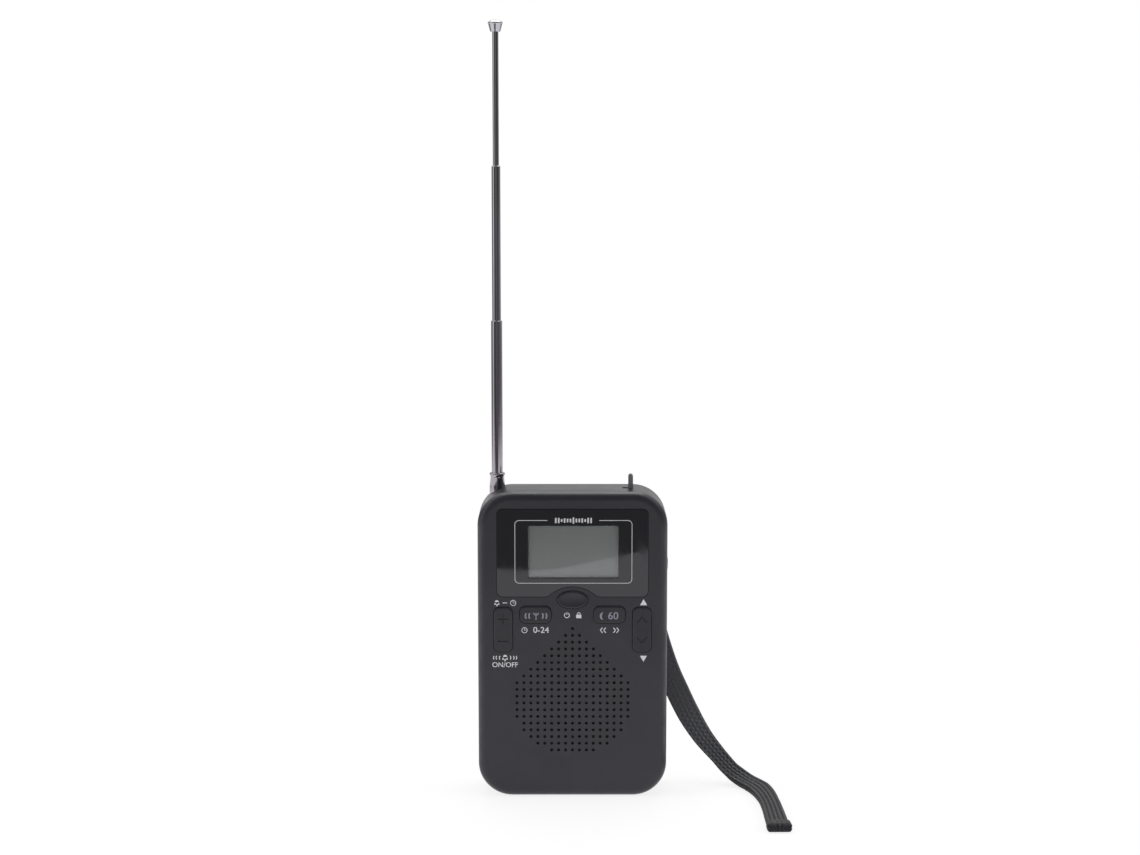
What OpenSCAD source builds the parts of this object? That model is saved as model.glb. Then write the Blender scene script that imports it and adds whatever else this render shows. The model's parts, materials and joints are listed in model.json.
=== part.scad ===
// Upright pocket-size tabletop radio with a digital clock display, a push-in
// telescopic antenna and a webbing wrist strap.
// Z is up, the front faces -Y, and the origin is the middle of the base.

/* [Case] */
// Width of the case
body_w = 64; // [60:1:72]
// Height of the case
body_h = 105; // [100:1:118]
// Depth of the case, front to back
body_d = 21; // [21:0.5:26]
// Corner radius seen from the front
corner_r = 11.5; // [9:0.5:12.5]
// Rounding of the front and back edges
edge_r = 2.8; // [1.8:0.1:3.2]
// Depth of the front shell, up to the parting line
front_depth = 5; // [4.8:0.1:6]
// Wall of both shells
wall = 1.6; // [1.4:0.1:1.8]

/* [Display] */
// Width of the glossy lens
lens_w = 51; // [46:0.5:54]
// Height of the glossy lens
lens_h = 30; // [29.5:0.1:33]
// Distance from the top of the case to the lens
lens_drop = 5.6; // [5.2:0.1:8]
// Corner radius of the lens
lens_r = 2; // [1:0.1:3]
// Thickness of the lens
lens_t = 1; // [0.8:0.05:1.1]
// Rise of the arch in the lower edge of the lens
arch_rise = 3.5; // [2:0.1:4]
// Radius of the arch
arch_r = 11.5; // [10:0.5:14]
// Width of the visible liquid crystal area
lcd_w = 31; // [28:0.5:33]
// Height of the visible liquid crystal area
lcd_h = 17.8; // [16:0.1:18.6]

/* [Keys] */
// Width of the two mode keys
key_w = 10.6; // [9:0.1:11.5]
// Height of the two mode keys
key_h = 5.9; // [5:0.1:6.5]
// Distance of the mode keys from the centre line
key_x = 12.5; // [12:0.1:13.2]
// Width of the oval power key
power_w = 10.4; // [9:0.1:11]
// Height of the oval power key
power_h = 6.1; // [5:0.1:6.4]
// Width of the rockers
rocker_w = 6.3; // [5.5:0.1:7]
// Height of the rockers
rocker_h = 15.4; // [13:0.1:17]
// Distance of the rockers from the centre line
rocker_x = 23.4; // [23:0.1:24.2]
// How far the keys stand out of the front
key_proud = 0.6; // [0.4:0.05:1]
// How far a key travels
key_travel = 0.4; // [0.2:0.05:0.5]
// How far a rocker tilts, in degrees
rocker_tilt = 2.5; // [1:0.5:3]

/* [Speaker] */
// Diameter of the loudspeaker
speaker_d = 36; // [32:0.5:38]
// Depth of the loudspeaker
speaker_depth = 4.9; // [4.4:0.1:5]
// Spacing of the grille holes across
grille_pitch = 2.35; // [2.2:0.05:2.6]
// Spacing of the grille holes down
grille_row_pitch = 2.34; // [2.2:0.02:2.5]
// Diameter of a grille hole
grille_hole_d = 1.05; // [0.8:0.05:1.4]
// Rows of grille holes
grille_rows = 19; // [15:1:20]
// Most holes on each side of the middle column
grille_half_columns = 8; // [6:1:9]

/* [Antenna] */
// Outer diameter of the fixed tube
mast_d = 5.3; // [5:0.1:5.6]
// Outer diameter of the lower sliding tube
lower_d = 3.8; // [3.6:0.1:4]
// Outer diameter of the middle sliding tube
middle_d = 3; // [2.9:0.1:3.1]
// Diameter of the tip rod
tip_d = 2.1; // [2:0.1:2.2]
// How far each section slides out
stage_travel = 52; // [45:0.5:52.5]
// Diameter of the knob on the tip
knob_d = 5.1; // [4.4:0.1:5.2]
// How far the fixed tube stands above the case
mast_rise = 4.4; // [3:0.1:5]
// Distance of the antenna from the centre line
mast_x = 25.7; // [25:0.1:25.8]

/* [Power cells] */
// Diameter of a cell
cell_d = 10.5; // [10:0.1:10.7]
// Length of a cell, with its terminal
cell_len = 44.5; // [43:0.1:45]

/* [Switch, jack and strap] */
// How far the switch lever slides
lever_travel = 1.8; // [1:0.1:2]
// Height of the lever above the case
lever_rise = 4.8; // [3:0.1:5.5]
// Distance of the resting lever from the centre line
lever_x = 19.7; // [18.5:0.1:19.8]
// Diameter of the earphone plug's hole
jack_bore_d = 3.6; // [3.6:0.05:3.7]
// Width of the strap's webbing
strap_w = 7.9; // [6:0.1:8.5]
// Thickness of the doubled webbing
strap_t = 2; // [1.4:0.1:2]

/* [Hidden] */
$fn = 48;

// Clearances
play = 0.15;      // around keys, lever and door
running = 0.05;   // radial, round a shaft in its bore
over = 1;         // how far a cutter runs past a face

// Depth levels of the case
front_y = -body_d / 2;
back_y = body_d / 2;
part_y = front_y + front_depth;
front_in_y = front_y + wall;
back_in_y = back_y - wall;
rim_t = wall / 2 - 0.1;       // tongue and groove between the shells
rim_h = 0.9;
reveal = 0.25;                // thin shadow line along the parting

// Display
lens_z = body_h - lens_drop - lens_h;
lens_seat_y = front_y + lens_t + 0.05;
arch_fillet = 3.1;
arch_reach = arch_r + arch_fillet;
arch_x = sqrt(pow(arch_reach, 2) - pow(arch_reach - arch_rise, 2));
arch_z = lens_z + arch_rise - arch_r;
arch_turn = atan2(arch_reach - arch_rise, arch_x);
lcd_z = lens_z + lens_h / 2 + 0.45;
glass_t = 0.9;
glass_w = lcd_w + 3;
glass_h = lcd_h + 2;
ledge_h = 1.5;                // contact ledge of the rear glass, below
holder_t = 0.7;

// Board
board_front_y = front_in_y + 4.3;
board_t = 1;
board_back_y = board_front_y + board_t;
board_gap = 1;
parts_gap = 8;                // board components, above the battery bay
cap_r = 2.5;
cap_h = 4.4;
chip = 10;
chip_t = 1.4;
coil_can = 5;
switch_reach = 2.6;           // tact switch, board face to plunger tip
tact_w = 4.4;

// Keys
flange = 0.7;
flange_t = 0.8;
key_r = 2;
key_edge = 0.5;
mark_line = 0.35;             // width of the grooves that mark the rockers
mark_depth = 0.2;
dish_rim = 0.7;               // round the power key's finger dish
dish_depth = 0.25;
pip_r = 0.4;
power_z = lens_z - 1;
mode_key_z = lens_z - 6.1;
rocker_z = lens_z - 11.2;
board_z = rocker_z - 8.1;
key_tip_y = board_front_y - switch_reach - key_travel - 0.05;
rocker_axis_y = front_in_y + 0.95;
rocker_pin_r = 0.6;
fork_half = 1.15;
rocker_pad = 4.6;
pusher_r = 1.1;
rocker_tip_y = board_front_y - switch_reach - (rocker_pad + pusher_r) * tan(rocker_tilt) - 0.05;

// Speaker and grille
grille_top_z = lens_z - 10.85;
speaker_z = grille_top_z - 22.6;
grille_round_r = 21.25;
speaker_r = speaker_d / 2;
cloth_t = 0.3;
cone_r = speaker_r - 1.5;
ring_t = 1;
magnet_r = 7.5;
basket = speaker_depth - 2.4;
window_r = (cone_r - magnet_r) / 2 - 2.3;
terminal_x = speaker_r - 3.8;
terminal_y = front_in_y + 3.8;
terminal_z = speaker_z + 7.4;

// Cells and their bay
cell_r = cell_d / 2;
cell_gap = 0.6;
cell_x = cell_r + cell_gap / 2;
bay_wall = 1;
bay_half = cell_d + cell_gap / 2 + 0.3;
plate_t = 0.4;
stud_h = 0.4;
spring_len = 4.3;
bay_z = 6.5;
bay_len = 2 * plate_t + stud_h + cell_len + spring_len;
bay_top = bay_z + bay_len;
cell_y = back_in_y - 0.3 - cell_r;
bay_floor_y = cell_y - cell_r - 0.3;
nub_r = 2.6;
nub_h = 0.9;
tail_x = cell_x;              // solder tails of the upper plates
tail_y = cell_y - 1.8;
tail_top = bay_top + bay_wall + 1;

// Battery door
door_t = wall;
door_lap = 1;
door_half = bay_half + door_lap + 1;
door_z = bay_z - door_lap;
door_top = bay_top + door_lap;
door_axis_y = back_y - door_t / 2;
door_axis_z = door_z + door_t / 2;
trunnion_r = 0.45;
trunnion_len = 0.9;
rim_depth = 1.4;
rim_side = 1.3;

// Antenna
mast_y = back_in_y - 3.4;
lip_h = 0.8;
mast_wall = 0.3;
tube_wall = 0.25;
mast_top = body_h + mast_rise;
tube_overlap = 8;
tube_len = stage_travel + tube_overlap;
mast_plug = 2.5;
mast_bottom = mast_top - tube_len - mast_plug - 0.8;
tip_travel = stage_travel - 7.8;
mast_inner_r = mast_d / 2 - mast_wall;
lower_inner_r = lower_d / 2 - tube_wall;
middle_inner_r = middle_d / 2 - tube_wall;
lower_z = mast_top - tube_overlap;
lower_top = mast_top + stage_travel;
middle_z = lower_top - tube_overlap;
middle_top = lower_top + stage_travel;
tip_z = middle_top - tube_overlap;
knob_z = middle_top + tip_travel + 0.05;
foot_len = 3;
knob_h = 3.9;
knob_hole = 2.5;
lug_t = 0.9;
lug_len = 6;
lug_hole_z = mast_bottom - lug_len + 2.2;

wire_r = 0.45;

// Screws and bosses
screw_r = 1;
screw_head_r = 1.7;
screw_head_t = 1.3;
screw_len = 9.8;
boss_r = 2.5;
sink_r = 1.9;
seat_y = 2.6;
top_screw_x = 11;
top_screw_z = body_h - wall - 4.1;
low_screw_x = body_w / 2 - 6.5;
low_screw_z = 9.5;
board_screw_x = body_w / 2 - 5.4;
board_screw_zs = [board_z + 23.5, board_z + 41.5];
post_r = 1.8;
small_screw_r = 0.8;
small_head_r = 1.5;
small_head_t = 1;
small_screw_len = board_back_y - front_in_y - 0.7;

// Switch, jack and strap
lever_w = 1.6;
lever_d = 2;
lever_y = board_back_y + 3.3;
switch_w = 9.4;
switch_top = body_h - wall - 1.1;
switch_h = 5;
switch_x = lever_x - 0.1;
jack_z = lens_z + 9.9;
jack_y = board_back_y + 3.2;
jack_nose_r = 2.7;
jack_len = 14;
jack_proud = 0.3;
jack_body_h = 5.8;
pocket_x = 24;
pocket_w = strap_w + 1.6;
pocket_z = 69.4;
pocket_h = 6.6;
pocket_depth = 5.4;
pocket_wall = 1;
pin_r = 0.8;
pin_y = back_y - 2.2;
pin_z = pocket_z + 0.2;

// Ferrite bar
bar_len = 43;
bar_h = 9;
bar_t = 4;
bar_z = body_h - 16.5;
bar_x = 2.5;
bar_y = back_in_y - 1.5 - bar_t;
coil_len = 14;
coil_t = 1.1;

case_colour = [0.20, 0.20, 0.21];
key_colour = [0.17, 0.17, 0.18];
chrome = [0.80, 0.81, 0.83];
steel = [0.62, 0.63, 0.65];
board_green = [0.10, 0.34, 0.20];

// The strap's middle line from the pin, over the back, down to the table and forward
strap_route = [
    [pocket_x, back_y - 1.1, 69.8], [24.3, back_y + 1, 67.4], [25.6, back_y + 1.7, 63.4],
    [27.3, back_y + 1.9, 58], [29.1, back_y + 1.9, 52], [30.9, back_y + 1.8, 46],
    [33.5, back_y + 1.5, 38.5], [36.8, back_y + 0.9, 31], [40.8, back_y, 23], [45.4, 8.8, 15.8],
    [50.9, 7.2, 9.3], [55.4, 5.2, 4.6], [59.8, 2.3, 1.9], [63.3, -2.6, 1.2], [65.2, -9.5, 1.05],
    [66.2, -18, 1.05], [66.6, -27, 1.05], [66.7, -36, 1.05], [66.8, -43.6, 1.05],
    [66.85, -45.2, 1.55], [66.9, -48.4, 1.55]];
// Share of each point's flat side that has turned from facing forward to facing up
strap_turn = [0, 0, 0, 0, 0, 0, 0, 0, 0.03, 0.1, 0.25, 0.5, 0.85, 1, 1, 1, 1, 1, 1, 1, 1];
// Width at each point: the webbing gathers where it twists, and spreads where it folds
strap_gather = [1, 1, 1, 1, 1, 1, 1.01, 1.03, 1.01, 0.92, 0.82, 0.8, 1.05, 1.18, 1, 0.88, 0.88,
    0.91, 0.94, 1.02, 1.04];
// Thickness at each point: the sewn end is folded over
strap_fold = [1, 1, 1, 1, 1, 1, 1, 1, 1, 1, 1, 1, 1, 1, 1, 1, 1, 1, 1, 1.5, 1.5];

// Points along an arc
function arc(x, y, r, from, to, steps = 8) =
    [for (i = [0:steps]) let (a = from + (to - from) * i / steps)
        [x + r * cos(a), y + r * sin(a)]];

function unit(v) = v / norm(v);

// Outline of a rectangle with round corners, centred
function rounded(w, h, r) = concat(
    arc(w / 2 - r, h / 2 - r, r, 0, 90), arc(r - w / 2, h / 2 - r, r, 90, 180),
    arc(r - w / 2, r - h / 2, r, 180, 270), arc(w / 2 - r, r - h / 2, r, 270, 360));

function ellipse(w, h, steps = 48) =
    [for (i = [0:steps - 1]) [w / 2 * cos(360 * i / steps), h / 2 * sin(360 * i / steps)]];

// Stands a flat outline (across, up) on edge as a slab from depth y0 to y1
module upright(y0, y1) {
    translate([0, y1, 0]) rotate([90, 0, 0]) linear_extrude(y1 - y0) children();
}

// A rod along Y from depth y0 to y1
module rod_y(x, z, r, y0, y1) {
    translate([x, y1, z]) rotate([90, 0, 0]) cylinder(r = r, h = y1 - y0);
}

// A rod along X from x0 to x1
module rod_x(x0, x1, y, z, r) {
    translate([x0, y, z]) rotate([0, 90, 0]) cylinder(r = r, h = x1 - x0);
}

module box(x0, x1, y0, y1, z0, z1) {
    translate([x0, y0, z0]) cube([x1 - x0, y1 - y0, z1 - z0]);
}

// Half section of a slab: reach across, depth up, with its outer corners rounded
module edge_profile(reach, depth, front_r, back_r) {
    difference() {
        square([reach, depth]);
        if (front_r > 0) translate([reach - front_r, 0]) difference() {
            translate([0, -over]) square([front_r + over, front_r + over]);
            translate([0, front_r]) circle(front_r);
        }
        if (back_r > 0) translate([reach - back_r, depth - back_r]) difference() {
            square([back_r + over, back_r + over]);
            circle(back_r);
        }
    }
}

// Upright block with round corners, from depth y0 to y1, on the level z0
module case_block(w, h, r, y0, y1, z0, front_r = 0, back_r = 0) {
    half = w / 2 - r;
    for (left = [0, 1], up = [0, 1])
        translate([0, y0, z0 + h / 2]) mirror([left, 0, 0]) mirror([0, 0, up])
            translate([half, 0, r - h / 2]) rotate([-90, 0, 0])
                rotate_extrude(angle = 90) edge_profile(r, y1 - y0, front_r, back_r);
    for (left = [0, 1]) translate([0, y0, z0 + r]) mirror([left, 0, 0])
        linear_extrude(h - 2 * r) edge_profile(w / 2, y1 - y0, front_r, back_r);
    for (up = [0, 1]) translate([half, y0, z0 + h / 2]) mirror([0, 0, up])
        rotate([0, -90, 0]) linear_extrude(2 * half) edge_profile(h / 2, y1 - y0, front_r, back_r);
}

// The hollow of the case between two depths, grown or shrunk all round
module hollow(y0, y1, grow = 0, front_r = 0, back_r = 0) {
    inset = wall - grow;
    case_block(body_w - 2 * inset, body_h - 2 * inset, corner_r - inset, y0, y1, inset, front_r, back_r);
}

// Skin over a list of rings that all have the same number of points
module sweep(rings) {
    n = len(rings[0]);
    last = len(rings) - 1;
    sides = [for (i = [0:last - 1], k = [0:n - 1]) let (m = (k + 1) % n)
        each [[i * n + k, (i + 1) * n + m, i * n + m], [i * n + k, (i + 1) * n + k, (i + 1) * n + m]]];
    start = [for (k = [1:n - 2]) [0, k, k + 1]];
    end = [for (k = [1:n - 2]) [last * n, last * n + k + 1, last * n + k]];
    polyhedron([for (ring = rings) each ring], concat(sides, start, end));
}

// Direction of a route at point i
function heading(p, i) =
    unit(p[min(i + 1, len(p) - 1)] - p[max(i - 1, 0)]);

// Rings of a round wire along a route
function wire_rings(p, r, n = 8, up = [0.31, 0.2, 0.93]) =
    [for (i = [0:len(p) - 1]) let (t = heading(p, i), a = unit(cross(t, up)), b = cross(a, t))
        [for (k = [0:n - 1]) p[i] + r * (cos(360 * k / n) * a + sin(360 * k / n) * b)]];

// Rings of a flat band along a route; facing gives the side that each point shows,
// broad and thick its share of the width and thickness
function band_rings(p, w, t, facing, broad, thick) =
    [for (i = [0:len(p) - 1]) let (d = heading(p, i), a = unit(cross(d, facing[i])), b = cross(a, d))
        [for (c = [[1, 0.5], [0.75, 1], [-0.75, 1], [-1, 0.5], [-1, -0.5], [-0.75, -1], [0.75, -1], [1, -0.5]])
            p[i] + c[0] * broad[i] * w / 2 * a + c[1] * thick[i] * t / 2 * b]];

module lens_outline(grow = 0) {
    x = lens_w / 2 - lens_r;
    polygon(concat(
        arc(x, lens_z + lens_r, lens_r + grow, 270, 360),
        arc(x, lens_z + lens_h - lens_r, lens_r + grow, 0, 90),
        arc(-x, lens_z + lens_h - lens_r, lens_r + grow, 90, 180),
        arc(-x, lens_z + lens_r, lens_r + grow, 180, 270),
        arc(-arch_x, lens_z + arch_fillet, arch_fillet + grow, 270, 360 - arch_turn),
        arc(0, arch_z, arch_r - grow, 180 - arch_turn, arch_turn, 24),
        arc(arch_x, lens_z + arch_fillet, arch_fillet + grow, 180 + arch_turn, 270)));
}

module mode_key_outline(grow = 0) {
    polygon(rounded(key_w + 2 * grow, key_h + 2 * grow, key_r + grow));
}

module rocker_outline(grow = 0) {
    polygon(rounded(rocker_w + 2 * grow, rocker_h + 2 * grow, key_r + grow));
}

module power_outline(grow = 0) {
    polygon(ellipse(power_w + 2 * grow, power_h + 2 * grow));
}

// Number of columns on each side of the middle in a row of the grille
function half_columns(row) =
    let (drop = row * grille_row_pitch - (grille_top_z - speaker_z),
         round_limit = drop > 0 ? floor(sqrt(max(0, pow(grille_round_r, 2) - drop * drop)) / grille_pitch) : row)
    min(row, grille_half_columns, max(round_limit, 0));

// Holes go right through in front of the cone, and are dimples round it
module grille_holes() {
    for (row = [0:grille_rows - 1])
        let (z = grille_top_z - row * grille_row_pitch, n = half_columns(row))
            for (column = [-n:n])
                let (x = column * grille_pitch,
                     through = norm([x, z - speaker_z]) < cone_r - grille_hole_d)
                    rod_y(x, z, grille_hole_d / 2, front_y - over,
                        through ? front_in_y + over : front_y + wall / 3);
}

module at_case_screws() {
    for (side = [-1, 1]) {
        translate([side * top_screw_x, 0, top_screw_z]) children();
        translate([side * low_screw_x, 0, low_screw_z]) children();
    }
}

module at_board_screws() {
    for (side = [-1, 1], z = board_screw_zs) translate([side * board_screw_x, 0, z]) children();
}

// Open bearings behind the front for a rocker's axle
module rocker_forks(side) {
    for (end = [-1, 1]) let (x = side * rocker_x + end * (rocker_w / 2 + flange + 0.7)) difference() {
        box(x - 0.4, x + 0.4, front_in_y, rocker_axis_y + 0.9, rocker_z - fork_half, rocker_z + fork_half);
        rod_x(x - over, x + over, rocker_axis_y, rocker_z, rocker_pin_r + running);
        box(x - over, x + over, rocker_axis_y, rocker_axis_y + over,
            rocker_z - rocker_pin_r, rocker_z + rocker_pin_r);
    }
}

module front_shell() color(case_colour) {
    difference() {
        union() {
            difference() {
                case_block(body_w, body_h, corner_r, front_y, part_y, 0, edge_r, 0);
                hollow(front_in_y, part_y + over, 0, edge_r - wall);
            }
            difference() {                      // tongue of the parting line
                hollow(part_y - rim_h, part_y + rim_h, rim_t);
                hollow(part_y - rim_h - over, part_y + rim_h + over);
            }
            difference() {                      // ring that centres the loudspeaker
                rod_y(0, speaker_z, speaker_r + play + ring_t, front_in_y, front_in_y + 2.4);
                rod_y(0, speaker_z, speaker_r + play, front_in_y - over, front_in_y + 3);
            }
            at_case_screws() rod_y(0, 0, boss_r, front_in_y, part_y);
            at_board_screws() rod_y(0, 0, post_r, front_in_y, board_front_y);
            for (side = [-1, 1]) rocker_forks(side);
        }
        upright(front_y - over, lens_seat_y) lens_outline(0.1);
        upright(front_y - over, front_in_y + over)
            translate([0, lcd_z]) square([lcd_w, lcd_h], center = true);
        for (side = [-1, 1]) {
            upright(front_y - over, front_in_y + over)
                translate([side * key_x, mode_key_z]) mode_key_outline(play);
            upright(front_y - over, front_in_y + over)
                translate([side * rocker_x, rocker_z]) rocker_outline(play);
        }
        upright(front_y - over, front_in_y + over) translate([0, power_z]) power_outline(play);
        grille_holes();
        at_case_screws() rod_y(0, 0, screw_r, front_in_y, part_y + over);
        at_board_screws() rod_y(0, 0, small_screw_r, front_in_y, board_front_y + over);
    }
}

module thumb_scoop() {
    translate([0, back_y + 7.2, door_top + 1.5]) sphere(r = 8);
}

module battery_bay_walls() {
    box(-bay_half - bay_wall, bay_half + bay_wall, bay_floor_y - bay_wall, back_in_y,
        bay_z - bay_wall, bay_top + bay_wall);
    box(-door_half - play - rim_side, door_half + play + rim_side, back_in_y - rim_depth, back_in_y,
        door_z - rim_side, door_top + rim_side);
}

module rear_shell() color(case_colour) {
    difference() {
        union() {
            difference() {
                case_block(body_w, body_h, corner_r, part_y, back_y, 0, 0, edge_r);
                hollow(part_y - over, back_in_y, 0, 0, edge_r - wall);
                difference() {                  // groove for the tongue
                    hollow(part_y - over, part_y + rim_h + 0.1, rim_t + 0.1);
                    hollow(part_y - 2 * over, part_y + 2 * rim_h, -0.1);
                }
                difference() {                  // shadow line
                    hollow(part_y - over, part_y + 0.35, wall + over);
                    hollow(part_y - 2 * over, part_y + over, wall - reveal);
                }
            }
            battery_bay_walls();
            at_case_screws() rod_y(0, 0, boss_r, part_y, back_in_y);
            box(pocket_x - pocket_w / 2 - pocket_wall, pocket_x + pocket_w / 2 + pocket_wall,
                back_y - pocket_depth - pocket_wall, back_in_y,
                pocket_z - pocket_h / 2 - pocket_wall, pocket_z + pocket_h / 2 + pocket_wall);
            box(-mast_x - mast_d / 2 - 1.2, -mast_x + mast_d / 2 + 1.2, mast_y - 1.2, back_in_y,
                body_h - 35, body_h - 33);      // saddle that steadies the antenna
            rod_y(-mast_x, lug_hole_z, boss_r, mast_y + lug_t / 2, back_in_y);
            for (end = [-1, 1])                 // cradles of the ferrite bar
                box(bar_x + end * (bar_len / 2 - 4) - 0.8, bar_x + end * (bar_len / 2 - 4) + 0.8,
                    bar_y - 0.6, back_in_y, bar_z - bar_h / 2 - 1, bar_z + bar_h / 2 + 1);
        }
        box(-bay_half, bay_half, bay_floor_y, back_y + over, bay_z, bay_top);
        box(-door_half - play, door_half + play, back_in_y, back_y + over, door_z - play, door_top + play);
        for (side = [-1, 1])
            box(side * tail_x - 0.9, side * tail_x + 0.9, tail_y - plate_t / 2 - 0.1, tail_y + plate_t / 2 + 0.1,
                bay_top - over, bay_top + bay_wall + over);
        for (side = [0, 1]) mirror([side, 0, 0])
            rod_x(door_half, door_half + play + trunnion_len, door_axis_y, door_axis_z, trunnion_r + running);
        at_case_screws() {
            rod_y(0, 0, sink_r, seat_y, back_y + over);
            rod_y(0, 0, screw_r + 0.1, part_y - over, seat_y + over);
        }
        translate([-mast_x, mast_y, body_h / 2]) cylinder(r = mast_d / 2 + running, h = body_h);
        rod_y(-mast_x, lug_hole_z, small_screw_r, mast_y - over, back_in_y - 0.5);
        box(bar_x - bar_len / 2 - over, bar_x + bar_len / 2 + over, bar_y - over, bar_y + bar_t,
            bar_z - bar_h / 2, bar_z + bar_h / 2);
        box(lever_x - lever_travel - lever_w / 2 - play, lever_x + lever_w / 2 + play,
            lever_y - lever_d / 2 - play, lever_y + lever_d / 2 + play, body_h - wall - over, body_h + over);
        rod_x(body_w / 2 - wall - over, body_w / 2 + over, jack_y, jack_z, jack_nose_r + running);
        box(pocket_x - pocket_w / 2, pocket_x + pocket_w / 2, back_y - pocket_depth, back_y + over,
            pocket_z - pocket_h / 2, pocket_z + pocket_h / 2);
        rod_x(pocket_x - pocket_w / 2 - pocket_wall, pocket_x + pocket_w / 2 + pocket_wall,
            pin_y, pin_z, pin_r);
        thumb_scoop();
    }
}

module battery_door() color(case_colour) {
    difference() {
        union() {
            box(-door_half, door_half, back_in_y, back_y, door_axis_z, door_top);
            rod_x(-door_half, door_half, door_axis_y, door_axis_z, door_t / 2);
            rod_x(-door_half - trunnion_len, door_half + trunnion_len, door_axis_y, door_axis_z, trunnion_r);
            for (i = [0:4]) rod_x(-6, 6, back_y, door_top - 6 - 1.6 * i, 0.3);   // grip ribs
        }
        thumb_scoop();
    }
}

module display_lens() color([0.03, 0.03, 0.04]) {
    upright(lens_seat_y - lens_t, lens_seat_y) lens_outline();
}

module lcd_panel() color([0.40, 0.42, 0.41]) {
    upright(front_in_y, front_in_y + glass_t)
        translate([-glass_w / 2, lcd_z - glass_h / 2]) square([glass_w, glass_h]);
    upright(front_in_y + glass_t, front_in_y + 2 * glass_t)
        translate([-glass_w / 2, lcd_z - glass_h / 2 - ledge_h]) square([glass_w, glass_h + ledge_h]);
}

module lcd_holder() color([0.86, 0.86, 0.84]) {
    half = glass_w / 2 + 0.1;
    low = lcd_z - glass_h / 2 - ledge_h - 0.1;
    high = lcd_z + glass_h / 2 + 0.1;
    back = front_in_y + 2 * glass_t;
    difference() {
        box(-half - holder_t, half + holder_t, front_in_y + 0.2, board_front_y, low - holder_t, high + holder_t);
        box(-half, half, front_y, back, low, high);
        box(-half + 1.5, half - 1.5, front_y, board_front_y + over, low + 0.3, high - 1.2);
    }
}

module zebra_strip() color([0.55, 0.35, 0.42]) {
    low = lcd_z - glass_h / 2 - ledge_h;
    box(-glass_w / 2 + 2, glass_w / 2 - 2, front_in_y + 2 * glass_t, board_front_y, low + 0.3, low + 1.5);
}

module main_board() color(board_green) {
    difference() {
        upright(board_front_y, board_back_y) intersection() {
            translate([0, body_h / 2])
                polygon(rounded(body_w - 2 * (wall + board_gap), body_h - 2 * (wall + board_gap),
                    corner_r - wall - board_gap));
            translate([-body_w / 2, board_z]) square([body_w, body_h]);
        }
        rod_y(0, speaker_z, speaker_r + play + ring_t + 0.4, board_front_y - over, board_back_y + over);
        at_case_screws() rod_y(0, 0, boss_r + 0.3, board_front_y - over, board_back_y + over);
        at_board_screws() rod_y(0, 0, small_screw_r + 0.1, board_front_y - over, board_back_y + over);
    }
}

module board_components() color([0.12, 0.12, 0.13]) {
    y = board_back_y;
    z = bay_top + bay_wall + parts_gap;
    rod_y(-4, z + cap_r, cap_r, y, y + cap_h);                        // smoothing capacitors
    rod_y(5, z + cap_r + 3, 0.8 * cap_r, y, y + cap_h);
    rod_y(11.5, z + cap_r + 5, 0.64 * cap_r, y, y + 0.9 * cap_h);
    box(-2 - chip, -2, y, y + chip_t, z + 8, z + 8 + chip);           // receiver chip
    box(1.5, 1.5 + 0.65 * chip, y, y + chip_t, z + 10, z + 10 + chip / 2);   // clock chip
    for (i = [0, 1]) box(-14.5 - coil_can, -14.5, y, y + coil_can,    // tuning coils
        z + 7 + i * (coil_can + 2), z + 7 + coil_can + i * (coil_can + 2));
    box(10, 13, y, y + 3.4, z + 14, z + 21);                          // crystal
}

module tact(x, z) {
    box(x - tact_w / 2, x + tact_w / 2, board_front_y - 1.8, board_front_y, z - tact_w / 2, z + tact_w / 2);
    rod_y(x, z, pusher_r, board_front_y - switch_reach, board_front_y - 1.8);
}

module tact_switches() color([0.15, 0.15, 0.16]) {
    tact(0, power_z);
    for (side = [-1, 1]) {
        tact(side * key_x, mode_key_z);
        for (end = [-1, 1]) tact(side * rocker_x, rocker_z + end * rocker_pad);
    }
}

module slide_switch() color(steel) {
    difference() {
        box(switch_x - switch_w / 2, switch_x + switch_w / 2, board_back_y, lever_y + 3,
            switch_top - switch_h, switch_top);
        box(lever_x - lever_travel - lever_w / 2 - 0.6, lever_x + lever_w / 2 + 0.6,
            lever_y - lever_d / 2 - play, lever_y + lever_d / 2 + play, switch_top - 3, switch_top + over);
    }
}

module switch_lever() color([0.45, 0.45, 0.47]) {
    foot = switch_top - 2.8;
    top = body_h + lever_rise;
    box(lever_x - lever_w / 2, lever_x + lever_w / 2, lever_y - lever_d / 2, lever_y + lever_d / 2,
        foot, top - lever_w / 2);
    translate([lever_x, lever_y + lever_d / 2, top - lever_w / 2]) rotate([90, 0, 0])
        cylinder(r = lever_w / 2, h = lever_d);
    box(lever_x - lever_w / 2 - 0.45, lever_x + lever_w / 2 + 0.45, lever_y - lever_d / 2, lever_y + lever_d / 2,
        foot, foot + 1.2);
}

module earphone_jack() color([0.10, 0.10, 0.11]) {
    end = body_w / 2 + jack_proud;
    difference() {
        union() {
            box(end - jack_len - 1, body_w / 2 - wall - 0.6, board_back_y, jack_y + 3.1,
                jack_z - jack_body_h / 2, jack_z + jack_body_h / 2);
            rod_x(body_w / 2 - wall - 0.6, end, jack_y, jack_z, jack_nose_r);
        }
        rod_x(end - jack_len, end + over, jack_y, jack_z, jack_bore_d / 2);
    }
}

module ferrite_bar() color([0.13, 0.13, 0.14]) {
    box(bar_x - bar_len / 2, bar_x + bar_len / 2, bar_y, bar_y + bar_t, bar_z - bar_h / 2, bar_z + bar_h / 2);
}

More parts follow.
